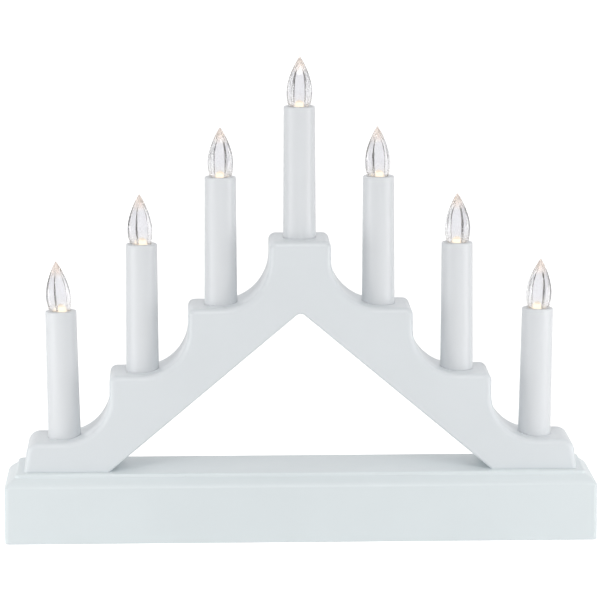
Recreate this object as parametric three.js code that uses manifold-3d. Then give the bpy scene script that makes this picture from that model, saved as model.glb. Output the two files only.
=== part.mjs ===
// Battery LED candle arch: seven candle tubes on a stepped arch that stands on a plinth.
// Millimetres, +Z up. The front faces -Y and the origin is the middle of the plinth's underside.
import * as THREE from "three";
import { mergeVertices } from "three/addons/utils/BufferGeometryUtils.js";
import Module from "manifold-3d";

// Clearance between pieces that seat on or in one another
const FIT_GAP = 0.3;
// How far cutting tools and through holes run past the faces they open
const OVERRUN = 1;

// Arch
const STEPS_EACH_SIDE = 3;
const CANDLE_PITCH = 38.7;
const STEP_RISE = 32.9;
const FOOT_BLOCK_HEIGHT = 14.5;
const CROWN_REACH = 15;
const BLOCK_REACH = 16.2;
const BLOCK_CORNER = 3.4;
const FOOT_FLARE = 2.9;
const CROWN_HEIGHT = 34.7;
const OPENING_SLOPE = THREE.MathUtils.degToRad(40);
const APEX_RADIUS = 3.2;
const ARCH_DEPTH = 35;
const ARCH_EDGE = 3;
const ARCH_WALL = 2;
const ARCH_SKIN = 2.2;
const COVER_THICKNESS = 2.4;
const COVER_POST_RADIUS = 3.2;
const COVER_POST_OFFSET = 10.5;
const COVER_POST_PITCHES = [0.5, 1.5, 2.5];
const COVER_POST_HEIGHT = 2;
const FOOT_BOSS_RADIUS = 3.5;

// Candle sockets in the treads
const SOCKET_WALL = 1.6;
const SOCKET_FLOOR = 1.6;
const LEAD_HOLE_RADIUS = 2.2;

// Candles
const CANDLE_FOOT_RADIUS = 8.1;
const CANDLE_TOP_RADIUS = 7.7;
const CANDLE_HEIGHT = 63;
const CENTRE_CANDLE_EXTRA = 1.5;
const OUTER_CANDLE_LEAN = THREE.MathUtils.degToRad(1.05);
const CANDLE_INSERTION = 6;
const CANDLE_WALL = 1.8;
const CANDLE_LID = 2;
const CANDLE_RIM = 0.5;

// Flame lenses
const LENS_FACETS = 5;
const LENS_HEIGHT = 24.3;
const LENS_SEAT_RADIUS = 5.8;
const LENS_BELLY_RADIUS = 6.8;
const LENS_BELLY_HEIGHT = 6.6;
const LENS_TIP_FULLNESS = 3.5;
const LENS_CAVITY_FULLNESS = 4.6;
const LENS_CAVITY_HEIGHT = 20.5;
const LENS_NECK_RADIUS = 4.3;
const LENS_NECK_LENGTH = 4;
// Each flame's turn in its socket and its slight sideways lean, in degrees from left to right
const LENS_TURNS = [52, 50, 31, 35, 42, 26, 24];
const LENS_LEANS = [-4.2, -2.2, 0, 0.8, -1.2, 0, 2.4];

// LEDs
const LED_RADIUS = 2.5;
const LED_FLANGE_RADIUS = 2.9;
const LED_FLANGE_HEIGHT = 1;
const LED_HEIGHT = 8.6;
const LED_STAND_PROUD = 3;

// Plinth
const BASE_FACE_HEIGHT = 27.2;
const OVOLO_RUN = 2.4;
const OVOLO_RISE = 2.7;
const OVOLO_BULGE = 0.6;
const SLOPE_RUN = 3.7;
const SLOPE_RISE = 3.8;
const SLOPE_EDGE = 0.5;
const PLATEAU_MARGIN = 3.7;
const BASE_CORNER = 1.6;
const BASE_WALL = 2.2;
const BASE_TOP = 2.2;
const BASE_BOSS_RADIUS = 3.5;
const BASE_SCREW_INSET_X = 18;
const BASE_SCREW_INSET_Y = 8;

// Bottom plate and battery bay
const PLATE_THICKNESS = 2.6;
const PAD_HEIGHT = 1.4;
const PAD_RADIUS = 4.6;
const BAY_WALL = 1.4;
const RIM_HEIGHT = 1.6;
const RIM_WIDTH = 3;
const RAIL_WIDTH = 1.2;

// Battery door
const DOOR_LAP = 1.4;
const DOOR_LIFT = 0.4;
const DOOR_THICKNESS = 2;
const HINGE_SETBACK = 1.6;
const LUG_RADIUS = 0.6;
const LUG_LENGTH = 2;
const TONGUE_WIDTH = 12;
const TONGUE_LENGTH = 9;
const TONGUE_SLIT = 0.8;
const NIB_WIDTH = 8;
const NIB_DEPTH = 0.5;
const NIB_HEIGHT = 0.8;
const GRIP_GROOVES = 4;
const GRIP_PITCH = 1.6;
const GRIP_WIDTH = 0.7;
const GRIP_DEPTH = 0.4;

// Cells and their contacts
const CELL_COUNT = 3;
const CELL_RADIUS = 7.1;
const CELL_LENGTH = 50.3;
const CELL_SPACE = 0.4;
const CELL_EDGE = 0.6;
const NUB_RADIUS = 2.7;
const NUB_LENGTH = 1.2;
const CONTACT_THICKNESS = 0.5;
const CONTACT_SIZE = 11;
const TAIL_WIDTH = 2;
const TAIL_RAISE = 4;
const TAIL_REACH = 2.5;
const SPRING_LENGTH = 4.6;
const SPRING_TURNS = 3.5;
const SPRING_FOOT_RADIUS = 4.4;
const SPRING_TIP_RADIUS = 2.2;
const SPRING_WIRE_RADIUS = 0.35;
const CURL_STEPS = 8;
const CURL_FACETS = 5;

// Circuit board and slide switch
const BOARD_LENGTH = 44;
const BOARD_WIDTH = 26;
const BOARD_THICKNESS = 1.6;
const BOARD_MARGIN = 4;
const BOARD_PIN_INSET = 4;
const BOARD_POST_RADIUS = 2.2;
const BOARD_PIN_RADIUS = 1;
const CHIP_LENGTH = 9;
const CHIP_WIDTH = 6;
const CHIP_HEIGHT = 1.6;
const CAPACITOR_RADIUS = 2.5;
const CAPACITOR_HEIGHT = 7;
const SWITCH_LENGTH = 15;
const SWITCH_WIDTH = 8;
const SWITCH_HEIGHT = 5.4;
const SWITCH_WALL = 0.6;
const SWITCH_TRAVEL = 4;
const SWITCH_RECESS = 1;
const SWITCH_RECESS_MARGIN = 3;
const KNOB_LENGTH = 4;
const KNOB_WIDTH = 3;
const KNOB_LIFT = 0.5;
const KNOB_HEAD_LENGTH = 6.4;
const KNOB_HEAD_WIDTH = 4.6;
const KNOB_HEAD_HEIGHT = 1.8;

// Wires
const TRUNK_RADIUS = 1.2;
const TRUNK_OFFSET = 5;
const TRUNK_CREST_DROP = 1.5;
const LEAD_RADIUS = 0.8;
const BATTERY_LEAD_RADIUS = 0.7;
const WIRE_STEPS_PER_BEND = 4;

// Screws
const SCREW_RADIUS = 1.3;
const SCREW_HEAD_RADIUS = 2.6;
const SCREW_HEAD_HEIGHT = 1.5;
const SCREW_HEAD_EDGE = 0.5;
const BASE_SCREW_LENGTH = 13;
const COVER_SCREW_LENGTH = 12;
const FOOT_SCREW_LENGTH = 12;

// Facets of round forms
const COVE_FACETS = 8;
const CORNER_FACETS = 3;
const EDGE_FACETS = 3;
const TUBE_FACETS = 16;
const SMALL_FACETS = 8;
const WIRE_FACETS = 6;

// Heights and places that follow from the sizes above
const plateauHeight = BASE_FACE_HEIGHT + OVOLO_RISE + SLOPE_RISE;
const mouldingRun = OVOLO_RUN + SLOPE_RUN;
const footBottom = plateauHeight + FIT_GAP;
const lowestTread = plateauHeight + FOOT_BLOCK_HEIGHT;
const halfFoot = STEPS_EACH_SIDE * CANDLE_PITCH + BLOCK_REACH + FOOT_FLARE;
const apexHeight = treadHeight(0) - CROWN_HEIGHT;
const slopeTan = Math.tan(OPENING_SLOPE);
const slopeSec = 1 / Math.cos(OPENING_SLOPE);
const archBack = ARCH_DEPTH / 2;
const coverBack = archBack - FIT_GAP;
const coverFront = coverBack - COVER_THICKNESS;
const socketRadius = CANDLE_FOOT_RADIUS + FIT_GAP;
const socketDepth = CANDLE_INSERTION + FIT_GAP;
const footInner = (apexHeight - footBottom) / slopeTan;
const footScrewX = (footInner + halfFoot) / 2;
const footScrewY = -archBack + ARCH_SKIN + FOOT_BOSS_RADIUS;
const wireX = footInner + socketRadius + FOOT_BOSS_RADIUS;
const wireY = coverFront - FIT_GAP - FOOT_BOSS_RADIUS;

const cellPitch = 2 * CELL_RADIUS + CELL_SPACE;
const bayWidth = CELL_COUNT * cellPitch + CELL_SPACE;
const bayLength = CELL_LENGTH + SPRING_LENGTH + 2 * CONTACT_THICKNESS + 4 * FIT_GAP;
const doorLength = bayLength + 2 * DOOR_LAP;
const doorDepth = bayWidth + 2 * DOOR_LAP;
const doorTop = DOOR_LIFT + DOOR_THICKNESS;
const doorSeat = doorTop + FIT_GAP;
const hingeY = doorDepth / 2 - HINGE_SETBACK;
const hingeZ = DOOR_LIFT + DOOR_THICKNESS / 2;
const recessLength = doorLength + 2 * FIT_GAP;
const recessDepth = doorDepth + 2 * FIT_GAP;
const rimLength = recessLength + 2 * RIM_WIDTH;
const cellZ = doorSeat + CELL_RADIUS;
const bayRoof = cellZ + CELL_RADIUS + FIT_GAP;
const plateDepth = recessDepth + 2 * RAIL_WIDTH;
const baseDepth = plateDepth + 2 * (FIT_GAP + BASE_WALL);
const baseWidth = 2 * (halfFoot + PLATEAU_MARGIN + mouldingRun);
const plateWidth = baseWidth - 2 * (FIT_GAP + BASE_WALL);
const baseScrewX = baseWidth / 2 - BASE_SCREW_INSET_X;
const baseScrewY = plateDepth / 2 - BASE_SCREW_INSET_Y;
const padTop = PLATE_THICKNESS + PAD_HEIGHT;
const baseScrewSeat = SCREW_HEAD_HEIGHT + FIT_GAP;

const boardX = rimLength / 2 + BOARD_MARGIN + BOARD_LENGTH / 2;
const switchBottom = PLATE_THICKNESS + FIT_GAP;
const boardBottom = switchBottom + SWITCH_HEIGHT + FIT_GAP;
const boardTop = boardBottom + BOARD_THICKNESS;
const slotLength = SWITCH_TRAVEL + KNOB_LENGTH + 2 * FIT_GAP;
const slotWidth = KNOB_WIDTH + 2 * FIT_GAP;
const trunkHoleRadius = TRUNK_RADIUS + 2 * FIT_GAP;
const screwHoleRadius = SCREW_RADIUS + FIT_GAP;
const headHoleRadius = SCREW_HEAD_RADIUS + FIT_GAP;

const wasm = await Module();
wasm.setup();

// Solid operations

function toSolid(geometry) {
  const bare = geometry.clone();
  bare.deleteAttribute("normal");
  bare.deleteAttribute("uv");
  const merged = mergeVertices(bare, 1e-4);
  const triangles = [];
  for (let i = 0; i < merged.index.count; i += 3) {
    const [a, b, c] = [0, 1, 2].map((corner) => merged.index.getX(i + corner));
    if (a !== b && b !== c && c !== a) {
      triangles.push(a, b, c);
    }
  }
  const mesh = new wasm.Mesh({
    numProp: 3,
    vertProperties: merged.attributes.position.array,
    triVerts: new Uint32Array(triangles),
  });
  return new wasm.Manifold(mesh);
}

function toGeometry(solid) {
  const mesh = solid.getMesh();
  const geometry = new THREE.BufferGeometry();
  geometry.setAttribute("position", new THREE.BufferAttribute(mesh.vertProperties, 3));
  geometry.setIndex(new THREE.BufferAttribute(mesh.triVerts, 1));
  geometry.computeVertexNormals();
  return geometry;
}

function join(...geometries) {
  const [first, ...rest] = geometries.map(toSolid);
  return toGeometry(rest.reduce((sum, next) => sum.add(next), first));
}

function cut(geometry, ...tools) {
  return toGeometry(tools.map(toSolid).reduce((left, tool) => left.subtract(tool), toSolid(geometry)));
}

function clip(geometry, limit) {
  return toGeometry(toSolid(geometry).intersect(toSolid(limit)));
}

// Basic forms

function box(x, y, z) {
  const geometry = new THREE.BoxGeometry(x[1] - x[0], y[1] - y[0], z[1] - z[0]);
  return geometry.translate((x[0] + x[1]) / 2, (y[0] + y[1]) / 2, (z[0] + z[1]) / 2);
}

function about(middle, size) {
  return [middle - size / 2, middle + size / 2];
}

function uprightBar(radius, z, x, y, facets = TUBE_FACETS) {
  const bar = new THREE.CylinderGeometry(radius, radius, z[1] - z[0], facets).rotateX(Math.PI / 2);
  return bar.translate(x, y, (z[0] + z[1]) / 2);
}

function crosswiseBar(radius, x, y, z) {
  const bar = new THREE.CylinderGeometry(radius, radius, x[1] - x[0], SMALL_FACETS).rotateZ(Math.PI / 2);
  return bar.translate((x[0] + x[1]) / 2, y, z);
}

function frontToBackBar(radius, y, x, z) {
  const bar = new THREE.CylinderGeometry(radius, radius, y[1] - y[0], SMALL_FACETS);
  return bar.translate(x, (y[0] + y[1]) / 2, z);
}

function turned(profile, facets) {
  return new THREE.LatheGeometry(profile, facets).rotateX(Math.PI / 2);
}

function point(x, z) {
  return new THREE.Vector2(x, z);
}

function arc(x, z, radius, from, to, facets) {
  const curve = new THREE.EllipseCurve(x, z, radius, radius, from, to, to < from);
  return curve.getPoints(facets);
}

function frontToBack(outline, y) {
  const settings = { depth: y[1] - y[0], bevelEnabled: false };
  const prism = new THREE.ExtrudeGeometry(new THREE.Shape(outline), settings);
  return prism.rotateX(Math.PI / 2).translate(0, y[1], 0);
}

function wire(points, radius) {
  const route = new THREE.CatmullRomCurve3(points, false, "centripetal");
  return tube(route, radius, WIRE_FACETS, WIRE_STEPS_PER_BEND * (points.length - 1));
}

function tube(route, radius, facets, steps) {
  const ring = new THREE.Shape(arc(0, 0, radius, 0, 2 * Math.PI, facets).slice(0, facets));
  return new THREE.ExtrudeGeometry(ring, { extrudePath: route, steps, bevelEnabled: false });
}

function roundedRectangle(width, depth, radius) {
  const [x, y] = [width / 2 - radius, depth / 2 - radius];
  const quarter = Math.PI / 2;
  const corners = [[x, y], [-x, y], [-x, -y], [x, -y]];
  return corners.flatMap(([cx, cy], i) => arc(cx, cy, radius, i * quarter, (i + 1) * quarter, CORNER_FACETS));
}

// A closed skin through outlines of equal point count, each at its own height
function loft(sections) {
  const count = sections[0].outline.length;
  const positions = sections.flatMap(({ outline, z }) => outline.flatMap((p) => [p.x, p.y, z]));
  const index = [];
  for (let ring = 0; ring + 1 < sections.length; ring += 1) {
    for (let i = 0; i < count; i += 1) {
      const a = ring * count + i;
      const b = ring * count + ((i + 1) % count);
      index.push(a, b, b + count, a, b + count, a + count);
    }
  }
  const top = (sections.length - 1) * count;
  for (let i = 1; i + 1 < count; i += 1) {
    index.push(0, i + 1, i, top, top + i, top + i + 1);
  }
  const geometry = new THREE.BufferGeometry();
  geometry.setAttribute("position", new THREE.Float32BufferAttribute(positions, 3));
  geometry.setIndex(index);
  geometry.computeVertexNormals();
  return geometry;
}

// A plate with rounded corners
function slab(width, depth, radius, z) {
  const outline = roundedRectangle(width, depth, radius);
  return loft(z.map((height) => ({ outline, z: height })));
}

// Outline of the arch, seen from the front

function treadHeight(step) {
  return lowestTread + (STEPS_EACH_SIDE - step) * STEP_RISE;
}

// How far a step's block reaches beyond its candle's axis, towards the foot
function blockReach(step) {
  return step === 0 ? CROWN_REACH : BLOCK_REACH;
}

// Treads, round nosings and coves of the right side, from the crown down to the foot
function stepSide(inset) {
  const points = [];
  const nosing = Math.max(BLOCK_CORNER - inset, FIT_GAP / 2);
  for (let step = 0; step <= STEPS_EACH_SIDE; step += 1) {
    const axis = step * CANDLE_PITCH;
    const tread = treadHeight(step);
    if (step > 0) {
      const cove = CANDLE_PITCH - blockReach(step - 1);
      points.push(...arc(axis, tread + cove, cove + inset, Math.PI, 1.5 * Math.PI, COVE_FACETS));
    }
    const nosingX = axis + blockReach(step) - inset - nosing;
    points.push(...arc(nosingX, tread - inset - nosing, nosing, Math.PI / 2, 0, CORNER_FACETS));
  }
  return points;
}

function mirrored(points) {
  return points.map((p) => point(-p.x, p.y)).reverse();
}

// Height of a line above the opening's side, at an offset square to it
function slopeHeight(x, offset) {
  return apexHeight + offset * slopeSec - slopeTan * Math.abs(x);
}

// Round apex of the opening, from right to left
function apexCurve(inset) {
  const middle = apexHeight - APEX_RADIUS * slopeSec;
  const start = Math.PI / 2 - OPENING_SLOPE;
  return arc(0, middle, APEX_RADIUS + inset, start, Math.PI - start, CORNER_FACETS);
}

function bandOutline(inset) {
  const floor = footBottom + inset;
  const inner = (slopeHeight(0, inset) - floor) / slopeTan;
  const side = [...stepSide(inset), point(halfFoot - inset, floor), point(inner, floor)];
  return [...side, ...apexCurve(inset), ...mirrored(side)];
}

// The solid arch with rounded front edges, before it is hollowed
function archBlank() {
  const edge = Math.min(ARCH_EDGE, BLOCK_CORNER - FIT_GAP);
  const below = footBottom - 2 * ARCH_EDGE;
  const side = [...stepSide(0), point(halfFoot, footBottom), point(halfFoot, below)];
  const settings = {
    depth: ARCH_DEPTH,
    bevelThickness: edge,
    bevelSize: edge,
    bevelOffset: -edge,
    bevelSegments: EDGE_FACETS,
  };
  const outline = new THREE.Shape([...side, ...mirrored(side)]);
  const billet = new THREE.ExtrudeGeometry(outline, settings).rotateX(Math.PI / 2);
  billet.translate(0, ARCH_DEPTH - archBack + edge, 0);
  const reach = (apexHeight - below) / slopeTan;
  const opening = [...apexCurve(0), point(-reach, below), point(reach, below)];
  const limit = box(about(0, baseWidth), [-ARCH_DEPTH, archBack], [footBottom, 2 * treadHeight(0)]);
  return cut(clip(billet, limit), frontToBack(opening, about(0, 2 * ARCH_DEPTH)));
}

const candlePlaces = [];
for (let place = -STEPS_EACH_SIDE; place <= STEPS_EACH_SIDE; place += 1) {
  candlePlaces.push(place);
}

const coverScrewPlaces = COVER_POST_PITCHES.flatMap((pitches) => {
  const x = pitches * CANDLE_PITCH;
  const z = Math.max(slopeHeight(x, COVER_POST_OFFSET), lowestTread + COVER_POST_HEIGHT);
  return [{ x: -x, z }, { x, z }];
});

function archFrontShell() {
  const blank = archBlank();
  const inside = frontToBack(bandOutline(ARCH_WALL), [-archBack + ARCH_SKIN, ARCH_DEPTH]);
  const additions = [];
  const cuts = [];
  for (const place of candlePlaces) {
    const x = place * CANDLE_PITCH;
    const tread = treadHeight(Math.abs(place));
    const floor = tread - socketDepth;
    const collar = socketRadius + SOCKET_WALL;
    additions.push(uprightBar(collar, [floor - SOCKET_FLOOR, tread + SOCKET_WALL + ARCH_WALL], x, 0));
    cuts.push(uprightBar(socketRadius, [floor, tread + socketRadius], x, 0));
    cuts.push(uprightBar(LEAD_HOLE_RADIUS, [floor - 2 * SOCKET_FLOOR, tread], x, 0, SMALL_FACETS));
  }
  const postEnd = coverFront - FIT_GAP;
  for (const { x, z } of coverScrewPlaces) {
    additions.push(frontToBackBar(COVER_POST_RADIUS, [-archBack + ARCH_SKIN / 2, postEnd], x, z));
    cuts.push(frontToBackBar(screwHoleRadius, [postEnd - COVER_SCREW_LENGTH, archBack], x, z));
  }
  for (const side of [-1, 1]) {
    const x = side * footScrewX;
    const boss = [footBottom + ARCH_WALL / 2, lowestTread - ARCH_WALL / 2];
    additions.push(uprightBar(FOOT_BOSS_RADIUS, boss, x, footScrewY, SMALL_FACETS));
    cuts.push(uprightBar(screwHoleRadius, [0, footBottom + FOOT_SCREW_LENGTH], x, footScrewY, SMALL_FACETS));
  }
  cuts.push(uprightBar(trunkHoleRadius, [0, footBottom + 2 * ARCH_WALL], wireX, wireY, SMALL_FACETS));
  const fittings = clip(join(...additions), blank);
  return cut(join(cut(blank, inside), fittings), ...cuts);
}

function archBackCover() {
  const panel = frontToBack(bandOutline(ARCH_WALL + FIT_GAP), [coverFront, coverBack]);
  const headSeat = coverBack - SCREW_HEAD_HEIGHT - FIT_GAP;
  const holes = coverScrewPlaces.flatMap(({ x, z }) => [
    frontToBackBar(screwHoleRadius, [0, ARCH_DEPTH], x, z),
    frontToBackBar(headHoleRadius, [headSeat, ARCH_DEPTH], x, z),
  ]);
  return cut(panel, ...holes);
}

// Plinth

function baseHousing() {
  const section = (inset, z) => {
    const outline = roundedRectangle(baseWidth - 2 * inset, baseDepth - 2 * inset, BASE_CORNER);
    return { outline, z };
  };
  const ovoloTop = BASE_FACE_HEIGHT + OVOLO_RISE;
  const ovolo = new THREE.QuadraticBezierCurve(
    point(0, BASE_FACE_HEIGHT),
    point(OVOLO_RUN / 2 - OVOLO_BULGE, ovoloTop - OVOLO_RISE / 2 + OVOLO_BULGE),
    point(OVOLO_RUN, ovoloTop),
  );
  const outside = loft([
    section(0, 0),
    ...ovolo.getPoints(2 * EDGE_FACETS).map((p) => section(p.x, p.y)),
    section(mouldingRun - SLOPE_EDGE, plateauHeight - SLOPE_EDGE),
    section(mouldingRun, plateauHeight),
  ]);
  const ceiling = plateauHeight - BASE_TOP;
  const inside = loft([
    section(BASE_WALL, -OVERRUN),
    section(BASE_WALL, BASE_FACE_HEIGHT - BASE_TOP / 2),
    section(mouldingRun + BASE_WALL / 2, ceiling),
  ]);
  const bosses = [];
  const cuts = [];
  for (const [x, y] of baseScrewPlaces()) {
    const boss = [padTop + FIT_GAP, ceiling + BASE_TOP / 2];
    bosses.push(uprightBar(BASE_BOSS_RADIUS, boss, x, y, SMALL_FACETS));
    cuts.push(uprightBar(screwHoleRadius, [0, padTop + BASE_SCREW_LENGTH], x, y, SMALL_FACETS));
  }
  const through = [ceiling - OVERRUN, plateauHeight + OVERRUN];
  for (const side of [-1, 1]) {
    cuts.push(uprightBar(screwHoleRadius, through, side * footScrewX, footScrewY, SMALL_FACETS));
  }
  cuts.push(uprightBar(trunkHoleRadius, through, wireX, wireY, SMALL_FACETS));
  return cut(join(cut(outside, inside), ...bosses), ...cuts);
}

function baseScrewPlaces() {
  return [-1, 1].flatMap((side) => [-1, 1].map((end) => [side * baseScrewX, end * baseScrewY]));
}

function boardPinPlaces() {
  const [x, y] = [BOARD_LENGTH / 2 - BOARD_PIN_INSET, BOARD_WIDTH / 2 - BOARD_PIN_INSET];
  return [-1, 1].flatMap((side) => [-1, 1].map((end) => [boardX + side * x, end * y]));
}

function contactTailPlaces() {
  const end = bayLength / 2 + BAY_WALL / 2;
  return [{ x: -end, y: -cellPitch }, { x: end, y: cellPitch }];
}

function bottomPlate() {
  const additions = [
    slab(rimLength, plateDepth, BASE_CORNER, [0, PLATE_THICKNESS + RIM_HEIGHT]),
    slab(bayLength + 2 * BAY_WALL, bayWidth + 2 * BAY_WALL, BASE_CORNER, [0, bayRoof + BAY_WALL]),
  ];
  const below = -OVERRUN;
  const hingeSweep = HINGE_SETBACK + FIT_GAP;
  const lugReach = recessLength + 2 * (LUG_LENGTH + FIT_GAP);
  const grooveFront = -recessDepth / 2 - NIB_DEPTH - FIT_GAP;
  const cuts = [
    box(about(0, recessLength), about(0, recessDepth), [below, doorSeat]),
    box(about(0, bayLength), about(0, bayWidth), [below, bayRoof]),
    box(about(0, recessLength), [hingeY - hingeSweep, recessDepth / 2], [below, hingeZ + hingeSweep]),
    crosswiseBar(LUG_RADIUS + FIT_GAP, about(0, lugReach), hingeY, hingeZ),
    box(about(0, NIB_WIDTH + 2 * FIT_GAP), [grooveFront, 0], [below, doorSeat]),
    box(
      about(boardX, slotLength + 2 * SWITCH_RECESS_MARGIN),
      about(0, slotWidth + 2 * SWITCH_RECESS_MARGIN),
      [below, SWITCH_RECESS],
    ),
    box(about(boardX, slotLength), about(0, slotWidth), [below, PLATE_THICKNESS + OVERRUN]),
  ];
  for (const [x, y] of baseScrewPlaces()) {
    additions.push(uprightBar(PAD_RADIUS, [0, padTop], x, y));
    cuts.push(uprightBar(headHoleRadius, [below, baseScrewSeat + FIT_GAP], x, y));
    cuts.push(uprightBar(screwHoleRadius, [below, padTop + OVERRUN], x, y, SMALL_FACETS));
  }
  for (const [x, y] of boardPinPlaces()) {
    additions.push(uprightBar(BOARD_POST_RADIUS, [0, boardBottom - FIT_GAP], x, y, SMALL_FACETS));
    additions.push(uprightBar(BOARD_PIN_RADIUS, [0, boardTop + BOARD_PIN_RADIUS], x, y, SMALL_FACETS));
  }
  const slit = { width: TAIL_WIDTH + 2 * FIT_GAP, height: CONTACT_THICKNESS + 2 * FIT_GAP };
  for (const { x, y } of contactTailPlaces()) {
    cuts.push(box(about(x, 2 * BAY_WALL), about(y, slit.width), about(cellZ + TAIL_RAISE, slit.height)));
  }
  const plate = slab(plateWidth, plateDepth, BASE_CORNER, [0, PLATE_THICKNESS]);
  return cut(join(plate, ...additions), ...cuts);
}

// Lid of the battery bay, with a round hinge edge, two trunnion lugs and a spring tongue
function batteryDoor() {
  const half = doorDepth / 2;
  const round = DOOR_THICKNESS / 2;
  const section = [
    point(-half, DOOR_LIFT),
    ...arc(half - round, hingeZ, round, -Math.PI / 2, Math.PI / 2, 2 * CORNER_FACETS),
    point(-half, doorTop),
  ];
  const panel = frontToBack(section, about(0, doorLength)).rotateZ(Math.PI / 2);
  const lugs = crosswiseBar(LUG_RADIUS, about(0, doorLength + 2 * LUG_LENGTH), hingeY, hingeZ);
  const nib = box(about(0, NIB_WIDTH), [-half - NIB_DEPTH, OVERRUN - half], about(hingeZ, NIB_HEIGHT));
  const through = [-OVERRUN, doorTop + OVERRUN];
  const slits = [-1, 1].map((side) => {
    const middle = (side * (TONGUE_WIDTH + TONGUE_SLIT)) / 2;
    return box(about(middle, TONGUE_SLIT), [-half - OVERRUN, TONGUE_LENGTH - half], through);
  });
  const grooves = [];
  for (let i = 1; i <= GRIP_GROOVES; i += 1) {
    const y = i * GRIP_PITCH - half;
    grooves.push(box(about(0, NIB_WIDTH), about(y, GRIP_WIDTH), [-OVERRUN, DOOR_LIFT + GRIP_DEPTH]));
  }
  return cut(join(panel, lugs, nib), ...slits, ...grooves);
}

// Cells and contacts

function cellY(i) {
  return (i - (CELL_COUNT - 1) / 2) * cellPitch;
}

// A round cell along X with its nub at -X
function cell() {
  const half = CELL_LENGTH / 2;
  const shoulder = half - NUB_LENGTH;
  const profile = [
    point(0, -half),
    point(CELL_RADIUS - CELL_EDGE, -half),
    point(CELL_RADIUS, CELL_EDGE - half),
    point(CELL_RADIUS, shoulder - CELL_EDGE),
    point(CELL_RADIUS - CELL_EDGE, shoulder),
    point(NUB_RADIUS, shoulder),
    point(NUB_RADIUS, half),
    point(0, half),
  ];
  return turned(profile, TUBE_FACETS).rotateY(-Math.PI / 2);
}

class ConicalSpring extends THREE.Curve {
  getPoint(t, target = new THREE.Vector3()) {
    const angle = 2 * Math.PI * SPRING_TURNS * t;
    const radius = THREE.MathUtils.lerp(SPRING_FOOT_RADIUS, SPRING_TIP_RADIUS, t);
    const length = SPRING_LENGTH - SPRING_WIRE_RADIUS;
    return target.set(length * t, radius * Math.cos(angle), radius * Math.sin(angle));
  }
}

function contactSpring() {
  return tube(new ConicalSpring(), SPRING_WIRE_RADIUS, CURL_FACETS, Math.ceil(CURL_STEPS * SPRING_TURNS));
}

// The least gap between one curl of the contact spring and the next, on points along the wire
function leastSpringGap() {
  const wirePoints = new ConicalSpring().getPoints(Math.ceil(CURL_STEPS * SPRING_TURNS));
  let least = Infinity;
  for (let i = 0; i < wirePoints.length; i += 1) {
    for (let j = i + CURL_STEPS / 2; j < wirePoints.length; j += 1) {
      least = Math.min(least, wirePoints[i].distanceTo(wirePoints[j]));
    }
  }
  return least - 2 * SPRING_WIRE_RADIUS;
}
console.log(`least gap between the contact spring's curls: ${leastSpringGap().toFixed(2)} mm`);

// Contact at one end of the bay: a plate over some cells, with springs on some and a solder tail
function contact(end, cells, springs, tail) {
  const wall = bayLength / 2 - FIT_GAP;
  const face = wall - CONTACT_THICKNESS;
  const sides = cells.map((i) => end * cellY(i));
  const y = [Math.min(...sides) - CONTACT_SIZE / 2, Math.max(...sides) + CONTACT_SIZE / 2];
  const pieces = [box([face, wall], y, about(cellZ, CONTACT_SIZE))];
  for (const i of springs) {
    pieces.push(contactSpring().rotateZ(Math.PI).translate(face, end * cellY(i), cellZ));
  }
  if (tail) {
    const reach = [face, bayLength / 2 + BAY_WALL + TAIL_REACH];
    pieces.push(box(reach, about(sides[0], TAIL_WIDTH), about(cellZ + TAIL_RAISE, CONTACT_THICKNESS)));
  }
  const whole = join(...pieces);
  return end > 0 ? whole : whole.rotateZ(Math.PI);
}

// Circuit board and switch

function timerBoard() {
  const board = box(about(boardX, BOARD_LENGTH), about(0, BOARD_WIDTH), [boardBottom, boardTop]);
  const quarter = BOARD_LENGTH / 4;
  const chipHeight = [boardBottom, boardTop + CHIP_HEIGHT];
  const chip = box(about(boardX - quarter, CHIP_LENGTH), about(0, CHIP_WIDTH), chipHeight);
  const standing = [boardBottom, boardTop + CAPACITOR_HEIGHT];
  const capacitor = uprightBar(CAPACITOR_RADIUS, standing, boardX + quarter, BOARD_WIDTH / 4, SMALL_FACETS);
  const holes = boardPinPlaces().map(([x, y]) =>
    uprightBar(BOARD_PIN_RADIUS + FIT_GAP, [0, boardTop + OVERRUN], x, y, SMALL_FACETS),
  );
  return cut(join(board, chip, capacitor), ...holes);
}

const headBottom = switchBottom + SWITCH_WALL + FIT_GAP;

function switchBody() {
  const can = box(
    about(boardX, SWITCH_LENGTH),
    about(0, SWITCH_WIDTH),
    [switchBottom, switchBottom + SWITCH_HEIGHT],
  );
  const runLength = SWITCH_TRAVEL + KNOB_HEAD_LENGTH + 2 * FIT_GAP;
  const runHeight = [switchBottom + SWITCH_WALL, headBottom + KNOB_HEAD_HEIGHT + FIT_GAP];
  const run = box(about(boardX, runLength), about(0, KNOB_HEAD_WIDTH + 2 * FIT_GAP), runHeight);
  const slot = box(about(boardX, slotLength), about(0, slotWidth), [0, headBottom]);
  return cut(can, run, slot);
}

// The slider at its ON end, from where it travels towards +X
function switchSlider() {
  const x = boardX - SWITCH_TRAVEL / 2;
  const headTop = headBottom + KNOB_HEAD_HEIGHT;
  const knob = box(about(x, KNOB_LENGTH), about(0, KNOB_WIDTH), [KNOB_LIFT, headTop]);
  const head = box(about(x, KNOB_HEAD_LENGTH), about(0, KNOB_HEAD_WIDTH), [headBottom, headTop]);
  return join(knob, head);
}

// Candles, in their own frame with the tread at zero

function candleHeight(place) {
  return CANDLE_HEIGHT + (place === 0 ? CENTRE_CANDLE_EXTRA : 0);
}

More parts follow.
